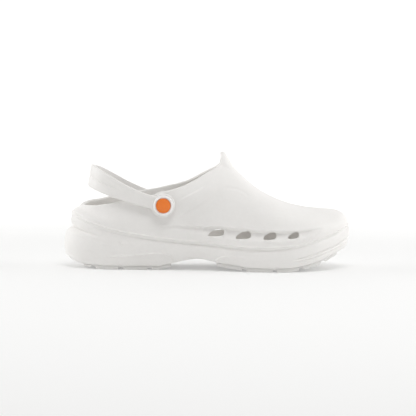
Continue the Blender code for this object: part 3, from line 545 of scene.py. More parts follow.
def outward(side):
    """Direction square to the outline at every column, seen from above."""
    path = OUTLINE_PATH[side]
    run = read_path(path, SHARES + LOOK_STEP) - read_path(path, SHARES - LOOK_STEP)
    square = np.stack([-side * run[:, 1], side * run[:, 0]], axis=-1)
    square[0] = (-1.0, 0.0)
    square[-1] = (1.0, 0.0)
    return square / np.linalg.norm(square, axis=1, keepdims=True)


OUTLINE_AT = {side: read_path(OUTLINE_PATH[side], SHARES) for side in SIDES}
OUTWARD = {side: outward(side) for side in SIDES}


def stepped_in(side, inset):
    """Points of every column at an inset from the widest outline; inset has one value per column."""
    return OUTLINE_AT[side] - OUTWARD[side] * np.asarray(inset)[..., None]


def step_insets(side):
    """Inset of the sole's side at each level of the table and each column."""
    along = place_along(OUTLINE_AT[side][:, 0])
    return np.array([hermite(SIDE_STEP_ALONG, row[1:], along) * SIDE_STEP for row in SIDE_STEPS])


def foot_inset(side):
    return step_insets(side)[-1] * FOOT_SHARE


def raised(plan, height):
    """Plan points with a height each."""
    return np.concatenate([plan, np.asarray(height)[..., None]], axis=-1)


def side_rows(side):
    """Points [column, row] from the bottom edge up to the foot of the upper."""
    table = step_insets(side)
    insets = hermite([row[0] for row in SIDE_STEPS], table, LEVELS)
    low = sole_height(BOTTOM_LINE, stepped_in(side, table[0])[:, 0])
    high = sole_height(BEAD_LINE, stepped_in(side, table[-1])[:, 0])
    rows = [raised(stepped_in(side, inset), low + (high - low) * level)
            for level, inset in zip(LEVELS, insets)]
    for part in np.arange(1, FOOT_ROWS + 1) / FOOT_ROWS:
        inset = table[-1] + (foot_inset(side) - table[-1]) * part
        rows.append(raised(stepped_in(side, inset), high + FOOT_RISE * part))
    return np.stack(rows, axis=1)


def tab_lift(points):
    """How far the tongue tab raises points of the instep."""
    ahead = points[..., 0] - place_x(COLLAR_PLAN[-1][0])
    across = np.clip(1 - (points[..., 1] / TAB_HALF_WIDTH) ** 2, 0, None)
    near = np.clip(1 - abs(ahead) / np.where(ahead > 0, TAB_DEPTH, 2 * TAB_DEPTH), 0, None)
    return TAB_RISE * across ** TAB_ROUNDNESS * near * near * (3 - 2 * near)


def top_points(side):
    """Where each column ends: on the collar edge, or on the crest of the vamp."""
    part = np.clip(SHARES / TONGUE_SHARE, 0, 1)
    collar = read_path(COLLAR_PATH[side], COLLAR_SPREAD * part + (1 - COLLAR_SPREAD) * part * part)
    height = row_curve(COLLAR_LINE, 1, place_along(collar[:, 0])) * INSTEP_HEIGHT
    if side == INNER:
        height = height + INNER_COLLAR_LIFT * np.sin(math.pi * part) ** 2
    ahead = np.clip((SHARES - TONGUE_SHARE) / (1 - TONGUE_SHARE), 0, 1)
    along = CREST_LINE[0][0] + (CREST_LINE[-1][0] - CREST_LINE[0][0]) * ahead
    crest = np.stack([place_x(along), TOE_SWING * CREST_SWING_SHARE * ahead * ahead,
                      row_curve(CREST_LINE, 1, along) * INSTEP_HEIGHT], axis=-1)
    return np.where((SHARES <= TONGUE_SHARE)[:, None], raised(collar, height), crest)


def unit(vectors):
    return vectors / np.linalg.norm(vectors, axis=-1, keepdims=True)


def wall_rows(side, foot):
    """Points [column, row] from the foot of the upper, left out, to the collar or the crest."""
    top = top_points(side)
    flat = (foot - top)[:, :2]
    width = np.linalg.norm(flat, axis=1)
    corner = np.array([math.cos(TONGUE_CORNER), side * math.sin(TONGUE_CORNER)])
    turn = row_curve(WALL_LEAN, 4, SHARES)[:, None]
    leave = unit(unit(flat) * (1 - turn) + corner * turn)
    lean = np.radians(row_curve(WALL_LEAN, 1, SHARES))
    rise = top[:, 2] - foot[:, 2]
    reach = row_curve(WALL_LEAN, 2, SHARES) * (width * np.cos(lean) + rise * np.sin(lean))
    along = place_along(top[:, 0])
    slope = (row_curve(CREST_LINE, 1, along + LOOK_STEP) - row_curve(CREST_LINE, 1, along - LOOK_STEP))
    slope = slope * INSTEP_HEIGHT / (2 * LOOK_STEP * LENGTH)
    down = np.where(SHARES < TONGUE_SHARE, -np.tan(lean), slope * leave[:, 0])
    leave = unit(raised(leave, down))
    low_handle = foot.copy()
    low_handle[:, 2] += row_curve(WALL_LEAN, 3, SHARES) * rise
    high_handle = top + leave * reach[:, None]
    rows = []
    for i in range(1, WALL_ROWS + 1):
        t = i / WALL_ROWS
        rows.append(foot * (1 - t) ** 3 + low_handle * (3 * t * (1 - t) ** 2)
                    + high_handle * (3 * t * t * (1 - t)) + top * t ** 3)
    wall = soften(np.stack(rows, axis=1))
    wall[..., 2] += tab_lift(wall)
    return wall


def soften(wall):
    """Even out the fold that the columns make where the collar turns into the crest."""
    place = np.arange(1, WALL_ROWS + 1) / WALL_ROWS
    near = swell(SHARES - TONGUE_SHARE, SOFTEN_SPREAD)
    weight = 0.5 * near[1:-1, None, None] * smooth(0.0, SOFTEN_TOP, 1 - place)[None, :, None]
    for _ in range(SOFTEN_ROUNDS):
        middle = (wall[2:] + wall[:-2]) / 2
        wall[1:-1] += weight * (middle - wall[1:-1])
    return wall


def surface_normals(grid):
    """Outward direction at each point of grid[side][column, row], joined across heel and toe."""
    ring = np.concatenate([grid[OUTER][:LAST], grid[INNER][LAST:0:-1]])
    around = np.roll(ring, -1, axis=0) - np.roll(ring, 1, axis=0)
    up = np.empty_like(ring)
    up[:, 1:-1] = ring[:, 2:] - ring[:, :-2]
    up[:, 0] = ring[:, 1] - ring[:, 0]
    up[:, -1] = ring[:, -1] - ring[:, -2]
    crest = np.arange(TONGUE_COLUMN, LAST)
    run = grid[OUTER][np.minimum(crest + 1, LAST), -1]
    run = run - grid[OUTER][np.maximum(crest - 1, TONGUE_COLUMN), -1]
    over = grid[INNER][crest, -2] - grid[OUTER][crest, -2]
    around[crest, -1] = run
    up[crest, -1] = over
    mirrored = len(ring) - crest[crest > 0]
    around[mirrored, -1] = -run
    up[mirrored, -1] = -over
    around[LAST, -1] = (0.0, 1.0, 0.0)
    up[LAST, -1] = grid[OUTER][LAST - 1, -1] - grid[OUTER][LAST, -2]
    normals = unit(np.cross(around, up))
    made = {OUTER: normals[:LAST + 1].copy()}
    made[INNER] = np.concatenate([normals[:1], normals[:LAST - 1:-1]])
    for side in SIDES:
        made[side][TONGUE_COLUMN:, -1, 1] = 0.0
        made[side][TONGUE_COLUMN:, -1] = unit(made[side][TONGUE_COLUMN:, -1])
    return made


def line_depth(kind, depth, width, fade_back, fade_front, points, x, z):
    """Height of one pressed line over the plain surface."""
    knots = [point[0] for point in points]
    heights = [point[1] for point in points]
    line = hermite(knots, heights, x)
    slope = hermite(knots, heights, x + 0.5) - hermite(knots, heights, x - 0.5)
    away = (z - line) / np.sqrt(1 + slope ** 2)
    ends = smooth(knots[0] - 0.5, knots[0] + fade_back, x)
    ends = ends * (1 - smooth(knots[-1] - fade_front, knots[-1] + 0.5, x))
    if kind == "groove":
        return -depth * ends * swell(away, width)
    return depth * ends * (1 - smooth(-width, width, away)) * np.exp(-np.clip(-away, 0, None) / LIP_FALL)


def vent_lip(x, z):
    """Raised lip round each vent, strongest below it and at its round end."""
    lip = np.zeros(x.shape)
    for vent_x, vent_z, length, height, slope in VENTS:
        across = (x - vent_x) / (length / 2)
        upright = (z - vent_z - slope * (x - vent_x)) / (height / 2)
        rim = (abs(across) ** 3 + abs(upright) ** 3) ** (1 / 3)
        side = 0.12 + 0.88 * smooth(-0.4, 0.9, 0.7 * across - upright)
        lip += side * swell(rim - 1.15, 0.09)
    return lip


def relief(points):
    """Height of the pressed detail over the plain surface, in metres."""
    x, z = points[..., 0] / MM, points[..., 2] / MM
    height = np.zeros(x.shape)

    lower = row_curve(CHANNEL, 1, x)
    upper = row_curve(CHANNEL, 2, x)
    depth = row_curve(CHANNEL, 3, x)
    part = np.clip((z - lower) / (upper - lower), 0, 2)
    inside = smooth(0.0, CHANNEL_RAMP, part) * (1 - smooth(upper - 0.5, upper + 0.4, z))
    height -= CHANNEL_GAIN * depth * inside
    height += BROW_GAIN * depth * swell(z - upper - BROW_ABOVE, BROW_WIDTH)

    height += LIP_HEIGHT * vent_lip(x, z)

    bead = row_curve(SOLE_LINES, BEAD_LINE, place_along(points[..., 0])) * SOLE_HEIGHT / MM
    height += BEAD_HEIGHT * swell(z - bead - BEAD_ABOVE, BEAD_WIDTH)
    height -= BEAD_GROOVE_DEPTH * swell(z - bead + BEAD_GROOVE_BELOW, BEAD_GROOVE_WIDTH)

    for line in LINES:
        height += line_depth(*line, x, z)

    low = row_curve(BAND, 1, x)
    high = row_curve(BAND, 2, x)
    band = row_curve(BAND, 3, x)
    height += band * smooth(low - 1.6, low + 0.4, z) * (1 - smooth(high - 0.4, high + 1.6, z))

    for mark_x, mark_z, half_length, half_height, rise, fade, end in MARKS:
        away = np.hypot((x - mark_x) / half_length, (z - mark_z) / half_height)
        height += rise * (1 - smooth(fade, end, away))
    return height * MM


def floor_rows(side):
    """Points [column, row] of the inside from the wall's foot down to the edge of the floor."""
    base = foot_inset(side) + WALL
    floor = sole_height(FLOOR_LINE, stepped_in(side, base + FILLET_REACH)[:, 0])
    rows = [raised(stepped_in(side, base + inset * FILLET_REACH), floor + rise * FILLET_RISE)
            for inset, rise in FLOOR_FILLET]
    return np.stack(rows, axis=1)


def spine_places(edges):
    """Middle points that the columns of a closed flat surface run to."""
    start = edges[OUTER][0, 0]
    end = edges[OUTER][LAST, 0]
    middle = (edges[OUTER][:, 0] + edges[INNER][:, 0]) / 2
    part = (1 - SPINE_SPREAD) * (middle - start) / (end - start) + SPINE_SPREAD * SHARES
    x = start + (end - start) * (SPINE_MARGIN + (1 - 2 * SPINE_MARGIN) * part)
    return np.stack([x, TOE_SWING * SPINE_SWING_SHARE * part ** 3], axis=-1)


def flat_rows(spine, edge, column, lift=0.0):
    """Points [column, row] from the middle of a floor to its edge, left out."""
    rows = []
    for i in range(FLAT_ROWS):
        plan = spine + (edge[:, :2] - spine) * i / FLAT_ROWS
        rows.append(raised(plan, sole_height(column, plan[:, 0]) + lift))
    return np.stack(rows, axis=1)


class Builder:
    """Closed mesh made of columns that run round the outline."""

    def __init__(self):
        self.points = []
        self.faces = []

    def add(self, point):
        self.points.append(tuple(point))
        return len(self.points) - 1

    def columns(self, rows, spine_row, crest_row):
        """Vertex numbers for rows[side][column, row], shared where the two sides meet."""
        made = {OUTER: [[self.add(point) for point in column] for column in rows[OUTER]], INNER: []}
        for i, column in enumerate(rows[INNER]):
            if i in (0, LAST):
                made[INNER].append(made[OUTER][i])
                continue
            known = {spine_row % len(column): made[OUTER][i][spine_row]}
            if crest_row is not None and i >= TONGUE_COLUMN:
                known[crest_row % len(column)] = made[OUTER][i][crest_row]
            made[INNER].append([known[k] if k in known else self.add(point)
                                for k, point in enumerate(column)])
        return made

    def skin(self, first, second):
        """Faces between two neighbouring columns."""
        for k in range(len(first) - 1):
            corners = list(dict.fromkeys((first[k], second[k], second[k + 1], first[k + 1])))
            if len(corners) > 2:
                self.faces.append(corners)

    def skin_all(self, columns):
        for side in SIDES:
            for first, second in zip(columns[side], columns[side][1:]):
                self.skin(first, second)

    def rim(self, outer, inner, normals):
        """Rounded strip round the collar, from the outer to the inner surface."""
        made = {OUTER: [], INNER: []}
        for side in SIDES:
            for i in range(TONGUE_COLUMN + 1):
                if side == INNER and i in (0, TONGUE_COLUMN):
                    made[side].append(made[OUTER][i])
                    continue
                out = np.array(self.points[outer[side][i][-1]])
                into = np.array(self.points[inner[side][i][0]])
                below = np.array(self.points[outer[side][i][-2]])
                normal = normals[side][i, -1]
                along_wall = out - below
                along_wall -= normal * along_wall.dot(normal)
                along_wall /= np.linalg.norm(along_wall)
                strip = [outer[side][i][-1]]
                for k in range(1, RIM_ROWS):
                    turn = math.pi * k / RIM_ROWS
                    middle = (out + into) / 2 + (out - into) / 2 * math.cos(turn)
                    strip.append(self.add(middle + along_wall * RIM_CROWN * math.sin(turn)))
                made[side].append(strip + [inner[side][i][0]])
        for side in SIDES:
            for first, second in zip(made[side], made[side][1:]):
                self.skin(first, second)


def solid(name, points, faces):
    """Object in the scene with its faces turned outwards and shaded smooth."""
    mesh = bpy.data.meshes.new(name)
    mesh.from_pydata(points, [], faces)
    work = bmesh.new()
    work.from_mesh(mesh)
    loose = [vert for vert in work.verts if not vert.link_faces]
    bmesh.ops.delete(work, geom=loose, context="VERTS")
    bmesh.ops.recalc_face_normals(work, faces=work.faces)
    work.to_mesh(mesh)
    work.free()
    mesh.shade_smooth()
    thing = bpy.data.objects.new(name, mesh)
    bpy.context.scene.collection.objects.link(thing)
    return thing


def boolean(thing, cutter, operation):
    """Cut or join with another object, which is then removed."""
    modifier = thing.modifiers.new("boolean", "BOOLEAN")
    modifier.operation = operation
    modifier.solver = "EXACT"
    modifier.object = cutter
    bpy.context.view_layer.update()
    result = bpy.data.meshes.new_from_object(thing.evaluated_get(bpy.context.evaluated_depsgraph_get()))
    thing.modifiers.clear()
    thing.data = result
    bpy.data.objects.remove(cutter, do_unlink=True)


def tube(name, loops):
    """Closed solid through loops of points, with flat ends."""
    count = len(loops[0])
    points = [point for loop in loops for point in loop]
    faces = [list(range(count)), list(range(len(points) - 1, len(points) - count - 1, -1))]
    for start in range(0, len(points) - count, count):
        for k in range(count):
            after = (k + 1) % count
            faces.append([start + k, start + after, start + count + after, start + count + k])
    return solid(name, points, faces)


def turned_mesh(profile, steps=ROUND_STEPS):
    """Points and faces of a solid turned about Z from a profile that starts and ends on the axis."""
    points = []
    rings = []
    for radius, height in profile:
        if radius < 1e-7:
            points.append((0.0, 0.0, height))
            rings.append([len(points) - 1] * steps)
            continue
        ring = []
        for i in range(steps):
            turn = 2 * math.pi * i / steps
            points.append((radius * math.cos(turn), radius * math.sin(turn), height))
            ring.append(len(points) - 1)
        rings.append(ring)
    faces = []
    for first, second in zip(rings, rings[1:]):
        for i in range(steps):
            after = (i + 1) % steps
            corners = list(dict.fromkeys((first[i], first[after], second[after], second[i])))
            if len(corners) > 2:
                faces.append(corners)
    return points, faces


def turned_piece(name, profile, side, distance):
    """Turned solid whose axis points away from the foot at the rivet."""
    points, faces = turned_mesh(profile)
    made = [(RIVET_X + px, side * (distance + pz), RIVET_HEIGHT - side * py) for px, py, pz in points]
    return solid(name, made, faces)


def half_width_at(path, x):
    """Distance from the middle of a line seen from above, at one place along it."""
    order = np.argsort(path[:, 0])
    return float(abs(np.interp(x, path[order, 0], path[order, 1])))


def boss_face(side):
    return half_width_at(OUTLINE_PATH[side], RIVET_X) + BOSS_RISE


def wall_back(side):
    return half_width_at(COLLAR_PATH[side], RIVET_X) - WALL


def cut_bore(thing, side, depth):
    """Hole for the rivet's shank, from outside down to a depth under the face of the boss."""
    bore = RIVET_SHANK_RADIUS + CLEARANCE
    profile = [(0.0, BORE_OVERSHOOT), (bore, BORE_OVERSHOOT), (bore, -depth), (0.0, -depth)]
    boolean(thing, turned_piece("bore", profile, side, boss_face(side)), "DIFFERENCE")


def sharpened(thing, angle=SHARP_ANGLE):
    """The same object, shaded smooth except at its sharp edges."""
    thing.data.shade_smooth()
    thing.data.set_sharp_from_angle(angle=angle)
    return thing


def chaikin(corners, rounds):
    """Closed outline with its corners cut off again and again."""
    points = [np.array(corner, float) for corner in corners]
    for _ in range(rounds):
        cut = []
        for start, end in zip(points, points[1:] + points[:1]):
            cut.append(start * 0.75 + end * 0.25)
            cut.append(start * 0.25 + end * 0.75)
        points = cut
    return points


def vent_cutter(row, side):
    """Rounded prism along Y that cuts one vent through the wall."""
    x, z, length, height, slope = row
    reach = half_width_at(OUTLINE_PATH[side], x * MM) / MM
    outline = []
    for across, rise in chaikin(VENT_CORNERS, VENT_ROUNDS):
        outline.append((x + across * length, z + rise * height + slope * across * length))
    return tube("vent", [[(px * MM, side * away * MM, pz * MM) for px, pz in outline]
                         for away in (reach + VENT_OVERSHOOT, reach - VENT_REACH)])


def build_shell():
    """Hollow upper with the sole's side and floor, as one closed mesh."""
    sole = {side: side_rows(side) for side in SIDES}
    wall = {side: wall_rows(side, sole[side][:, -1]) for side in SIDES}
    skin = {side: np.concatenate([sole[side], wall[side]], axis=1) for side in SIDES}
    normals = surface_normals(skin)
    bare_wall = {side: skin[side][:, -WALL_ROWS - 1:] for side in SIDES}
    wall_normals = surface_normals(bare_wall)
    fillet = {side: floor_rows(side) for side in SIDES}
    bottom_spine = spine_places({side: sole[side][:, 0] for side in SIDES})
    floor_spine = spine_places({side: fillet[side][:, -1] for side in SIDES})
    keep = np.linspace(WALL_ROWS, 0, LINING_ROWS + 1).round().astype(int)

    outer_rows = {}
    inner_rows = {}
    for side in SIDES:
        fade = np.ones(skin[side].shape[:2])
        fade[:, 0] = 0.0
        fade[TONGUE_COLUMN:, -1] = 0.0
        height = relief(skin[side]) * fade
        shaped = skin[side] + normals[side] * height[..., None]
        under = flat_rows(bottom_spine, sole[side][:, 0], BOTTOM_LINE)
        outer_rows[side] = np.concatenate([under, shaped], axis=1)
        lining = (bare_wall[side] - wall_normals[side] * WALL)[:, keep]
        ground = flat_rows(floor_spine, fillet[side][:, -1], FLOOR_LINE)
        inner_rows[side] = np.concatenate([lining, fillet[side], ground[:, ::-1]], axis=1)

    shell = Builder()
    outer = shell.columns(outer_rows, 0, -1)
    inner = shell.columns(inner_rows, -1, 0)
    shell.skin_all(outer)
    shell.skin_all(inner)
    shell.rim(outer, inner, normals)
    thing = solid("clog_shell", shell.points, shell.faces)

    for side in SIDES:
        for row in VENTS:
            boolean(thing, vent_cutter(row, side), "DIFFERENCE")
    for side in SIDES:
        face = boss_face(side)
        back = wall_back(side) - face
        profile = [(0.0, 0.0)] + [(BOSS_RADIUS + past, height) for past, height in BOSS_FLANK]
        profile += [(BOSS_RADIUS, back), (0.0, back)]
        boolean(thing, turned_piece("boss", profile, side, face), "UNION")
        cut_bore(thing, side, SHELL_BORE_DEPTH)
    return sharpened(thing)


def build_insole():
    """Loose footbed that follows the floor and its fillet."""
    top = CLEARANCE + INSOLE_THICKNESS
    steps = [(inset * FILLET_REACH, rise * FILLET_RISE) for inset, rise in FLOOR_FILLET]
    rim = steps[0][0] + 2 * INSOLE_MARGIN
    edge_rows = [(steps[4][0] + INSOLE_MARGIN, steps[4][1] + CLEARANCE),
                 (steps[2][0] + INSOLE_MARGIN, steps[2][1] + CLEARANCE),
                 (rim, steps[1][1] + CLEARANCE)]
    for k in range(INSOLE_BEVEL_PARTS + 1):
        turn = math.pi / 2 * k / INSOLE_BEVEL_PARTS
        edge_rows.append((rim + INSOLE_BEVEL * (1 - math.cos(turn)),
                          top - INSOLE_BEVEL * (1 - math.sin(turn))))
    edge = {}
    for side in SIDES:
        base = foot_inset(side) + WALL
        rows = []
        for inset, rise in edge_rows:
            plan = stepped_in(side, base + inset)
            rows.append(raised(plan, sole_height(FLOOR_LINE, plan[:, 0]) + rise))
        edge[side] = np.stack(rows, axis=1)
    spine = spine_places({side: floor_rows(side)[:, -1] for side in SIDES})
    rows = {}
    for side in SIDES:
        under = flat_rows(spine, edge[side][:, 0], FLOOR_LINE, CLEARANCE)
        over = flat_rows(spine, edge[side][:, -1], FLOOR_LINE, top)
        rows[side] = np.concatenate([under, edge[side], over[:, ::-1]], axis=1)
    slab = Builder()
    columns = slab.columns(rows, 0, None)
    for i in range(1, LAST):
        columns[INNER][i][-1] = columns[OUTER][i][-1]
    slab.skin_all(columns)
    return solid("clog_footbed", slab.points, slab.faces)


def tread_side(edge, x, side):
    """Y of a tread's side: a margin inside the bottom edge of the shell."""
    crossings = []
    for start, end in zip(edge, edge[1:]):
        if min(start[0], end[0]) <= x <= max(start[0], end[0]) and end[0] != start[0]:
            crossings.append(start[1] + (end[1] - start[1]) * (x - start[0]) / (end[0] - start[0]))
    return side * (max(side * y for y in crossings) - TREAD_MARGIN)


def tread_pattern(x, across, grooves):
    """How far the tread's face is pressed up at places along and across it."""
    deep = 0.0
    half = GROOVE_WIDTH / 2
    for along in grooves:
        away = abs(x - place_x(along))
        deep = max(deep, 1 - smooth(half - GROOVE_EASE_IN, half + GROOVE_EASE_OUT, away))
    fine = (x + RIB_WAVE * np.sin(across * 2 * math.pi * RIB_WAVES)) / RIB_PITCH % 1.0
    inside = 1 - smooth(0.84, 0.90, abs(across))
    sipe = (1 - smooth(0.10, 0.16, abs(fine - 0.5))) * inside
    return np.maximum(deep * GROOVE_DEPTH, sipe * RIB_DEPTH)


def build_tread(name, limits, grooves, stations, across_steps):
    """Rubber tread with cross grooves and fine wavy ribs."""
    edges = {side: side_rows(side)[:, 0] for side in SIDES}
    round_in = TREAD_BEVEL * TREAD_BEVEL_SHARE
    share = np.linspace(-1.0, 1.0, across_steps + 1)
    loops = []
    for i in range(stations + 1):
        x = place_x(limits[0] + (limits[1] - limits[0]) * i / stations)
        low = float(sole_height(TREAD_LINE, x))
        high = float(sole_height(BOTTOM_LINE, x)) - CLEARANCE
        near = tread_side(edges[OUTER], x, OUTER)
        far = tread_side(edges[INNER], x, INNER)
        low_near, low_far = near + TREAD_BEVEL, far - TREAD_BEVEL
        pressed = tread_pattern(x, share, grooves)
        y = low_near + (low_far - low_near) * (share + 1) / 2
        face = [(x, float(py), low + float(depth)) for py, depth in zip(y, pressed)]
        loop = [(x, near, high), (x, near, low + TREAD_BEVEL + float(pressed[0])),
                (x, near + round_in, low + round_in + float(pressed[0]))]
        loop += face
        loop += [(x, far - round_in, low + round_in + float(pressed[-1])),
                 (x, far, low + TREAD_BEVEL + float(pressed[-1])), (x, far, high)]
        loops.append(loop)
    return sharpened(tube(name, loops), TREAD_SHARP_ANGLE)


def strap_half_width(place, width_share):
    """Half the strap's width at a distance from the rivet, with a soft corner at its round end."""
    plain = (STRAP_SIDE_WIDTH + (STRAP_BACK_WIDTH - STRAP_SIDE_WIDTH) * width_share) / 2
    round_end = math.sqrt(max(STRAP_LOBE_RADIUS ** 2 - place ** 2, 0.0))
    return (plain ** STRAP_CORNER_POWER + round_end ** STRAP_CORNER_POWER) ** (1 / STRAP_CORNER_POWER)


def strap_stations():
    """Centre in the strap's own plane, half width, back share and sag of each station."""
    path = {}
    lobes = {}
    for side in SIDES:
        away = side * (boss_face(side) + CLEARANCE + STRAP_THICKNESS / 2)
        path[side] = [(reach * STRAP_REACH, share * away, width, sag * STRAP_SAG)
                      for reach, share, width, sag in STRAP_PLAN]
        lobes[side] = []
        for angle in STRAP_LOBE_ANGLES:
            place = -STRAP_LOBE_RADIUS * math.cos(math.radians(angle))
            half = STRAP_LOBE_RADIUS * math.sin(math.radians(angle))
            lobes[side].append((np.array((place, away)), half, 0.0, 0.0))
    middle = []
    for x, y, width, sag in smooth_path(path[INNER] + path[OUTER][-2::-1], STRAP_PARTS):
        middle.append((np.array((x, y)), strap_half_width(x, width), width, sag))
    return lobes[INNER] + middle + lobes[OUTER][::-1]


def strap_profile(half, share):
    """Section of the strap as (outwards, upwards), with rounded edges and a groove on its face."""
    bevel = min(STRAP_BEVEL, half * STRAP_BEVEL_LIMIT)
    half_thick = STRAP_THICKNESS / 2
    points = []
    for centre_out, centre_up, start in (
            (half_thick - bevel, half - bevel, 0), (bevel - half_thick, half - bevel, 90),
            (bevel - half_thick, bevel - half, 180), (half_thick - bevel, bevel - half, 270)):
        for k in range(4):
            turn = math.radians(start + 30 * k)
            points.append((centre_out + bevel * math.cos(turn), centre_up + bevel * math.sin(turn)))
    depth = STRAP_GROOVE * smooth(0.25, 0.75, share)
    ridge = min(STRAP_GROOVE_HALF, half * STRAP_GROOVE_LIMIT)
    for k in (-1.0, -0.66, -0.33, 0.0, 0.33, 0.66, 1.0):
        points.append((half_thick - depth * math.cos(k * math.pi / 2) ** 2, ridge * k))
    return points


def build_strap():
    """Strap swung back behind the heel, a band bent round in a tilted plane and more upright at its back."""
    stations = strap_stations()
    backwards = np.array((-math.cos(STRAP_TILT), 0.0, math.sin(STRAP_TILT)))
    upwards = np.array((math.sin(STRAP_TILT), 0.0, math.cos(STRAP_TILT)))
    sideways = np.array((0.0, 1.0, 0.0))
    start = np.array((RIVET_X, 0.0, RIVET_HEIGHT))
    loops = []
    for i, (centre, half, share, sag) in enumerate(stations):
        run = stations[min(i + 1, len(stations) - 1)][0] - stations[max(i - 1, 0)][0]
        run = run / np.linalg.norm(run)
        upright = unit(upwards + (np.array((0.0, 0.0, 1.0)) - upwards) * STRAP_UPRIGHT * share)
        outwards = backwards * -run[1] + sideways * run[0]
        outwards = unit(outwards - upright * np.dot(outwards, upright))
        middle = start + backwards * centre[0] + sideways * centre[1] - upwards * sag
        loops.append([tuple(middle + outwards * out + upright * up)
                      for out, up in strap_profile(half, share)])
    thing = tube("clog_strap", loops)
    for side in SIDES:
        cut_bore(thing, side, STRAP_BORE_DEPTH)
    return sharpened(thing)


def arc(centre_radius, centre_height, radius, start, end, parts=5):
    """Quarter round of a profile, as (radius, height) points."""
    made = []
    for k in range(parts + 1):
        turn = math.radians(start + (end - start) * k / parts)
        made.append((centre_radius + radius * math.cos(turn), centre_height + radius * math.sin(turn)))
    return made


def build_rivet(label, side):
    """Snap rivet with a raised ring round its coloured disc."""
    seat = STRAP_THICKNESS + 2 * CLEARANCE
    rim = seat + RIVET_HEAD_HEIGHT
    pocket = rim - DISC_DEPTH
    inside = DISC_RADIUS + CLEARANCE
    ring = (RIVET_HEAD_RADIUS - inside) / 2
    face = boss_face(side)
    back = wall_back(side) - CLEARANCE - face
    profile = [(0.0, pocket), (inside, pocket)]
    profile += arc(inside + ring, rim - ring, ring, 180, 0, 10)
    profile += arc(RIVET_HEAD_RADIUS - RIVET_HEAD_EDGE, seat + RIVET_HEAD_EDGE, RIVET_HEAD_EDGE, 0, -90)
    profile += [(RIVET_SHANK_RADIUS, seat), (RIVET_SHANK_RADIUS, back), (RIVET_BACK_RADIUS, back)]
    end = back - RIVET_BACK_HEIGHT
    profile += arc(RIVET_BACK_RADIUS - RIVET_BACK_EDGE, end + RIVET_BACK_EDGE, RIVET_BACK_EDGE, 0, -90)
    profile.append((0.0, end))
    return sharpened(turned_piece("clog_rivet_" + label, profile, side, face))


def build_disc(label, side):
    """Low dome in the rivet's head, with a shallow ring pressed into it."""
    base = STRAP_THICKNESS + 2 * CLEARANCE + RIVET_HEAD_HEIGHT - DISC_DEPTH + CLEARANCE
    edge = base + DISC_DEPTH - CLEARANCE - DISC_CROWN / 2
    profile = []
    for k in range(DISC_PARTS + 1):
        radius = (DISC_RADIUS - DISC_EDGE) * k / DISC_PARTS
        crown = DISC_CROWN * (1 - (radius / DISC_RADIUS) ** 2)
        ring = DISC_RING_DEPTH * float(swell(radius - DISC_RING_RADIUS, DISC_RING_WIDTH))
        profile.append((radius, edge + crown - ring))
    profile += arc(DISC_RADIUS - DISC_EDGE, profile[-1][1] - DISC_EDGE, DISC_EDGE, 90, 0)
    profile += [(DISC_RADIUS, base), (0.0, base)]
    return sharpened(turned_piece("clog_rivet_disc_" + label, profile, side, boss_face(side)))


def node(tree, kind, place, **values):
    """New node, with each value set on the input or the setting of that name."""
    made = tree.nodes.new(kind)
    made.location = place
    for key, value in values.items():
        if key in made.inputs:
            made.inputs[key].default_value = value
        else:
            setattr(made, key, value)
    return made


def ranged(tree, place, low, high, low_made, high_made):
    """Node that turns a range of values into another range."""
    made = node(tree, "ShaderNodeMapRange", place)
    for key, value in (("From Min", low), ("From Max", high), ("To Min", low_made), ("To Max", high_made)):
        made.inputs[key].default_value = value
    return made


def moulded(name, light, dark, roughness, grain, grain_depth, patch=22.0, sheen=0.0, coat=0.0):
    """Moulded foam, rubber or plastic: soft patches of tone, a fine skin grain and uneven gloss."""
    made = bpy.data.materials.new(name)
    made.use_nodes = True
    tree = made.node_tree
    shader = tree.nodes["Principled BSDF"]
    place = node(tree, "ShaderNodeTexCoord", (-1100, 0))
    patches = node(tree, "ShaderNodeTexNoise", (-850, 200), Scale=patch, Detail=4.0, Roughness=0.55)
    specks = node(tree, "ShaderNodeTexNoise", (-850, -40), Scale=grain * 0.35, Detail=2.0, Roughness=0.6)
    pores = node(tree, "ShaderNodeTexVoronoi", (-850, -280), Scale=grain)
    fine = node(tree, "ShaderNodeTexNoise", (-850, -520), Scale=grain * 1.7, Detail=3.0, Roughness=0.6)
    for texture in (patches, specks, pores, fine):
        tree.links.new(place.outputs["Object"], texture.inputs["Vector"])
    tone = node(tree, "ShaderNodeValToRGB", (-560, 220))
    tone.color_ramp.elements[0].position = 0.30
    tone.color_ramp.elements[0].color = (*dark, 1.0)
    tone.color_ramp.elements[1].position = 0.68
    tone.color_ramp.elements[1].color = (*light, 1.0)
    blend = node(tree, "ShaderNodeMix", (-700, 120), data_type="FLOAT")
    blend.inputs[0].default_value = 0.3
    tree.links.new(patches.outputs["Fac"], blend.inputs[2])
    tree.links.new(specks.outputs["Fac"], blend.inputs[3])
    tree.links.new(blend.outputs[0], tone.inputs["Fac"])
    tree.links.new(tone.outputs["Color"], shader.inputs["Base Color"])
    gloss = ranged(tree, (-560, -60), 0.3, 0.7, roughness - 0.06, roughness + 0.06)
    tree.links.new(specks.outputs["Fac"], gloss.inputs["Value"])
    tree.links.new(gloss.outputs["Result"], shader.inputs["Roughness"])
    skin = node(tree, "ShaderNodeMath", (-560, -320), operation="MULTIPLY_ADD")
    skin.inputs[1].default_value = 0.5
    tree.links.new(pores.outputs["Distance"], skin.inputs[0])
    tree.links.new(fine.outputs["Fac"], skin.inputs[2])
    bump = node(tree, "ShaderNodeBump", (-300, -300), Strength=0.35, Distance=grain_depth)
    tree.links.new(skin.outputs["Value"], bump.inputs["Height"])
    tree.links.new(bump.outputs["Normal"], shader.inputs["Normal"])
    shader.inputs["Specular IOR Level"].default_value = 0.3
    shader.inputs["Sheen Weight"].default_value = sheen
    shader.inputs["Coat Weight"].default_value = coat
    shader.inputs["Coat Roughness"].default_value = 0.3
    return made


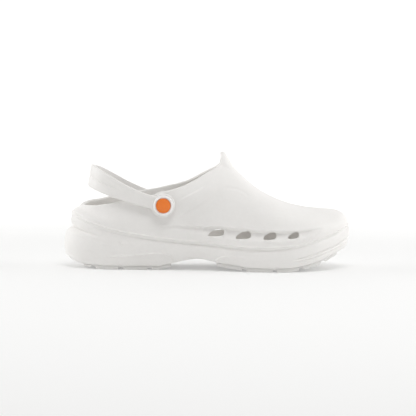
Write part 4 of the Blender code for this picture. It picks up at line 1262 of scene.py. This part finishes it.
def dress(piece, look, slot, *nodes):
    """Give a piece its material and its body, and hide the CAD nodes that it stands for. The slot is not
    used.
    """
    piece.data.materials.clear()
    piece.data.materials.append(look)
    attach(piece, "root")
    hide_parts(*nodes)


def build_clog():
    """Every piece of the clog, with its material."""
    foam = moulded("foam_skin", (0.90, 0.885, 0.865), (0.85, 0.835, 0.815), 0.50, 900.0, 0.00012, sheen=0.05)
    strap_foam = moulded("strap_skin", (0.88, 0.865, 0.845), (0.83, 0.815, 0.795), 0.46, 900.0, 0.00010)
    bed = moulded("footbed_skin", (0.90, 0.875, 0.84), (0.85, 0.825, 0.79), 0.70, 420.0, 0.00035)
    rubber = moulded("tread_skin", (0.83, 0.82, 0.80), (0.76, 0.75, 0.73), 0.62, 700.0, 0.00018)
    plastic = moulded("rivet_skin", (0.96, 0.955, 0.95), (0.93, 0.925, 0.92), 0.32, 1200.0, 0.00004,
                      coat=0.15)
    orange = moulded("disc_skin", (0.95, 0.25, 0.040), (0.89, 0.21, 0.030), 0.36, 1200.0, 0.00004, coat=0.2)

    dress(build_shell(), foam, "shell_foam", "upper_and_midsole")
    dress(build_insole(), bed, "footbed_foam", "insole")
    dress(build_strap(), strap_foam, "strap_foam", "heel_strap")
    heel = build_tread("clog_tread_heel", HEEL_TREAD, HEEL_GROOVES, 150, 40)
    dress(heel, rubber, "tread_rubber", "outsole_heel")
    forefoot = build_tread("clog_tread_forefoot", FOREFOOT_TREAD, FOREFOOT_GROOVES, 210, 56)
    dress(forefoot, rubber, "tread_rubber", "outsole_forefoot")
    for side, label in ((OUTER, "outer"), (INNER, "inner")):
        dress(build_rivet(label, side), plastic, "rivet_plastic", "rivet_" + label)
        dress(build_disc(label, side), orange, "orange_plastic", "rivet_disc_" + label)


def studio_paper():
    """Plain pale paper that glows a little, so that shadows on it stay light."""
    made = bpy.data.materials.new("studio_paper")
    made.use_nodes = True
    tree = made.node_tree
    shader = tree.nodes["Principled BSDF"]
    shader.inputs["Base Color"].default_value = (0.72, 0.72, 0.715, 1.0)
    shader.inputs["Roughness"].default_value = 0.9
    shader.inputs["Specular IOR Level"].default_value = 0.2
    shader.inputs["Emission Color"].default_value = (1.0, 1.0, 1.0, 1.0)
    place = node(tree, "ShaderNodeTexCoord", (-700, -200))
    split = node(tree, "ShaderNodeSeparateXYZ", (-500, -200))
    rise = ranged(tree, (-300, -200), GLOW_FROM, GLOW_TO, GLOW_NEAR, GLOW_FAR)
    rise.interpolation_type = "SMOOTHSTEP"
    tree.links.new(place.outputs["Object"], split.inputs["Vector"])
    tree.links.new(split.outputs["Y"], rise.inputs["Value"])
    tree.links.new(rise.outputs["Result"], shader.inputs["Emission Strength"])
    return made


def build_stage():
    """Pale floor that sweeps up behind the shoe."""
    bend = SWEEP_DEPTH - SWEEP_RADIUS
    profile = [(SWEEP_START, 0.0), (bend, 0.0)]
    for k in range(1, SWEEP_PARTS + 1):
        turn = math.pi / 2 * k / SWEEP_PARTS
        profile.append((bend + SWEEP_RADIUS * math.sin(turn), SWEEP_RADIUS * (1 - math.cos(turn))))
    profile.append((SWEEP_DEPTH, SWEEP_RISE))
    points = [(x, y, z) for y, z in profile for x in (-SWEEP_HALF, SWEEP_HALF)]
    faces = [(2 * i, 2 * i + 1, 2 * i + 3, 2 * i + 2) for i in range(len(profile) - 1)]
    mesh = bpy.data.meshes.new("studio_sweep")
    mesh.from_pydata(points, [], faces)
    mesh.shade_smooth()
    mesh.materials.append(studio_paper())
    sweep = bpy.data.objects.new("studio_sweep", mesh)
    bpy.context.scene.collection.objects.link(sweep)


def softbox(name, place, target, size, power):
    """Square area light aimed at a point."""
    data = bpy.data.lights.new(name, "AREA")
    data.shape = "RECTANGLE"
    data.size, data.size_y = size
    data.energy = power
    lamp = bpy.data.objects.new(name, data)
    lamp.location = place
    lamp.rotation_euler = (Vector(target) - Vector(place)).to_track_quat("-Z", "Y").to_euler()
    bpy.context.scene.collection.objects.link(lamp)


def build_lights():
    """Soft boxes round the shoe, a weak even fill, and the light that thin foam lets into the toe."""
    world = bpy.data.worlds.new("studio_air")
    world.use_nodes = True
    world.node_tree.nodes["Background"].inputs["Color"].default_value = (1.0, 0.995, 0.985, 1.0)
    world.node_tree.nodes["Background"].inputs["Strength"].default_value = FILL_STRENGTH
    bpy.context.scene.world = world
    for row in SOFTBOXES:
        softbox(*row)
    for number, along in enumerate(FOAM_GLOW_PLACES, 1):
        name = "foam_glow_%d" % number
        glow = bpy.data.lights.new(name, "POINT")
        glow.energy = FOAM_GLOW_WATTS
        glow.shadow_soft_size = FOAM_GLOW_RADIUS
        lamp = bpy.data.objects.new(name, glow)
        lamp.location = (along, 0.0, FOAM_GLOW_HEIGHT)
        lamp.visible_camera = False
        bpy.context.scene.collection.objects.link(lamp)


def build_camera():
    """Long lens a few degrees above the floor, rolled by the half degree that the photograph has."""
    data = bpy.data.cameras.new("photo_camera")
    data.sensor_width = SENSOR
    data.lens = LENS
    distance = FRAME_WIDTH * LENS / SENSOR
    forward = Vector((0.0, math.cos(ELEVATION), -math.sin(ELEVATION)))
    flat_up = Vector((0.0, math.sin(ELEVATION), math.cos(ELEVATION)))
    flat_right = Vector((1.0, 0.0, 0.0))
    right = flat_right * math.cos(ROLL) + flat_up * math.sin(ROLL)
    up = flat_up * math.cos(ROLL) - flat_right * math.sin(ROLL)
    turn = Matrix((right, up, -forward)).transposed()
    camera = bpy.data.objects.new("photo_camera", data)
    camera.matrix_world = Matrix.Translation(Vector(AIM) - forward * distance) @ turn.to_4x4()
    bpy.context.scene.collection.objects.link(camera)
    bpy.context.scene.camera = camera


build_camera()
build_clog()
build_stage()
build_lights()
bpy.context.scene.view_settings.view_transform = "Standard"
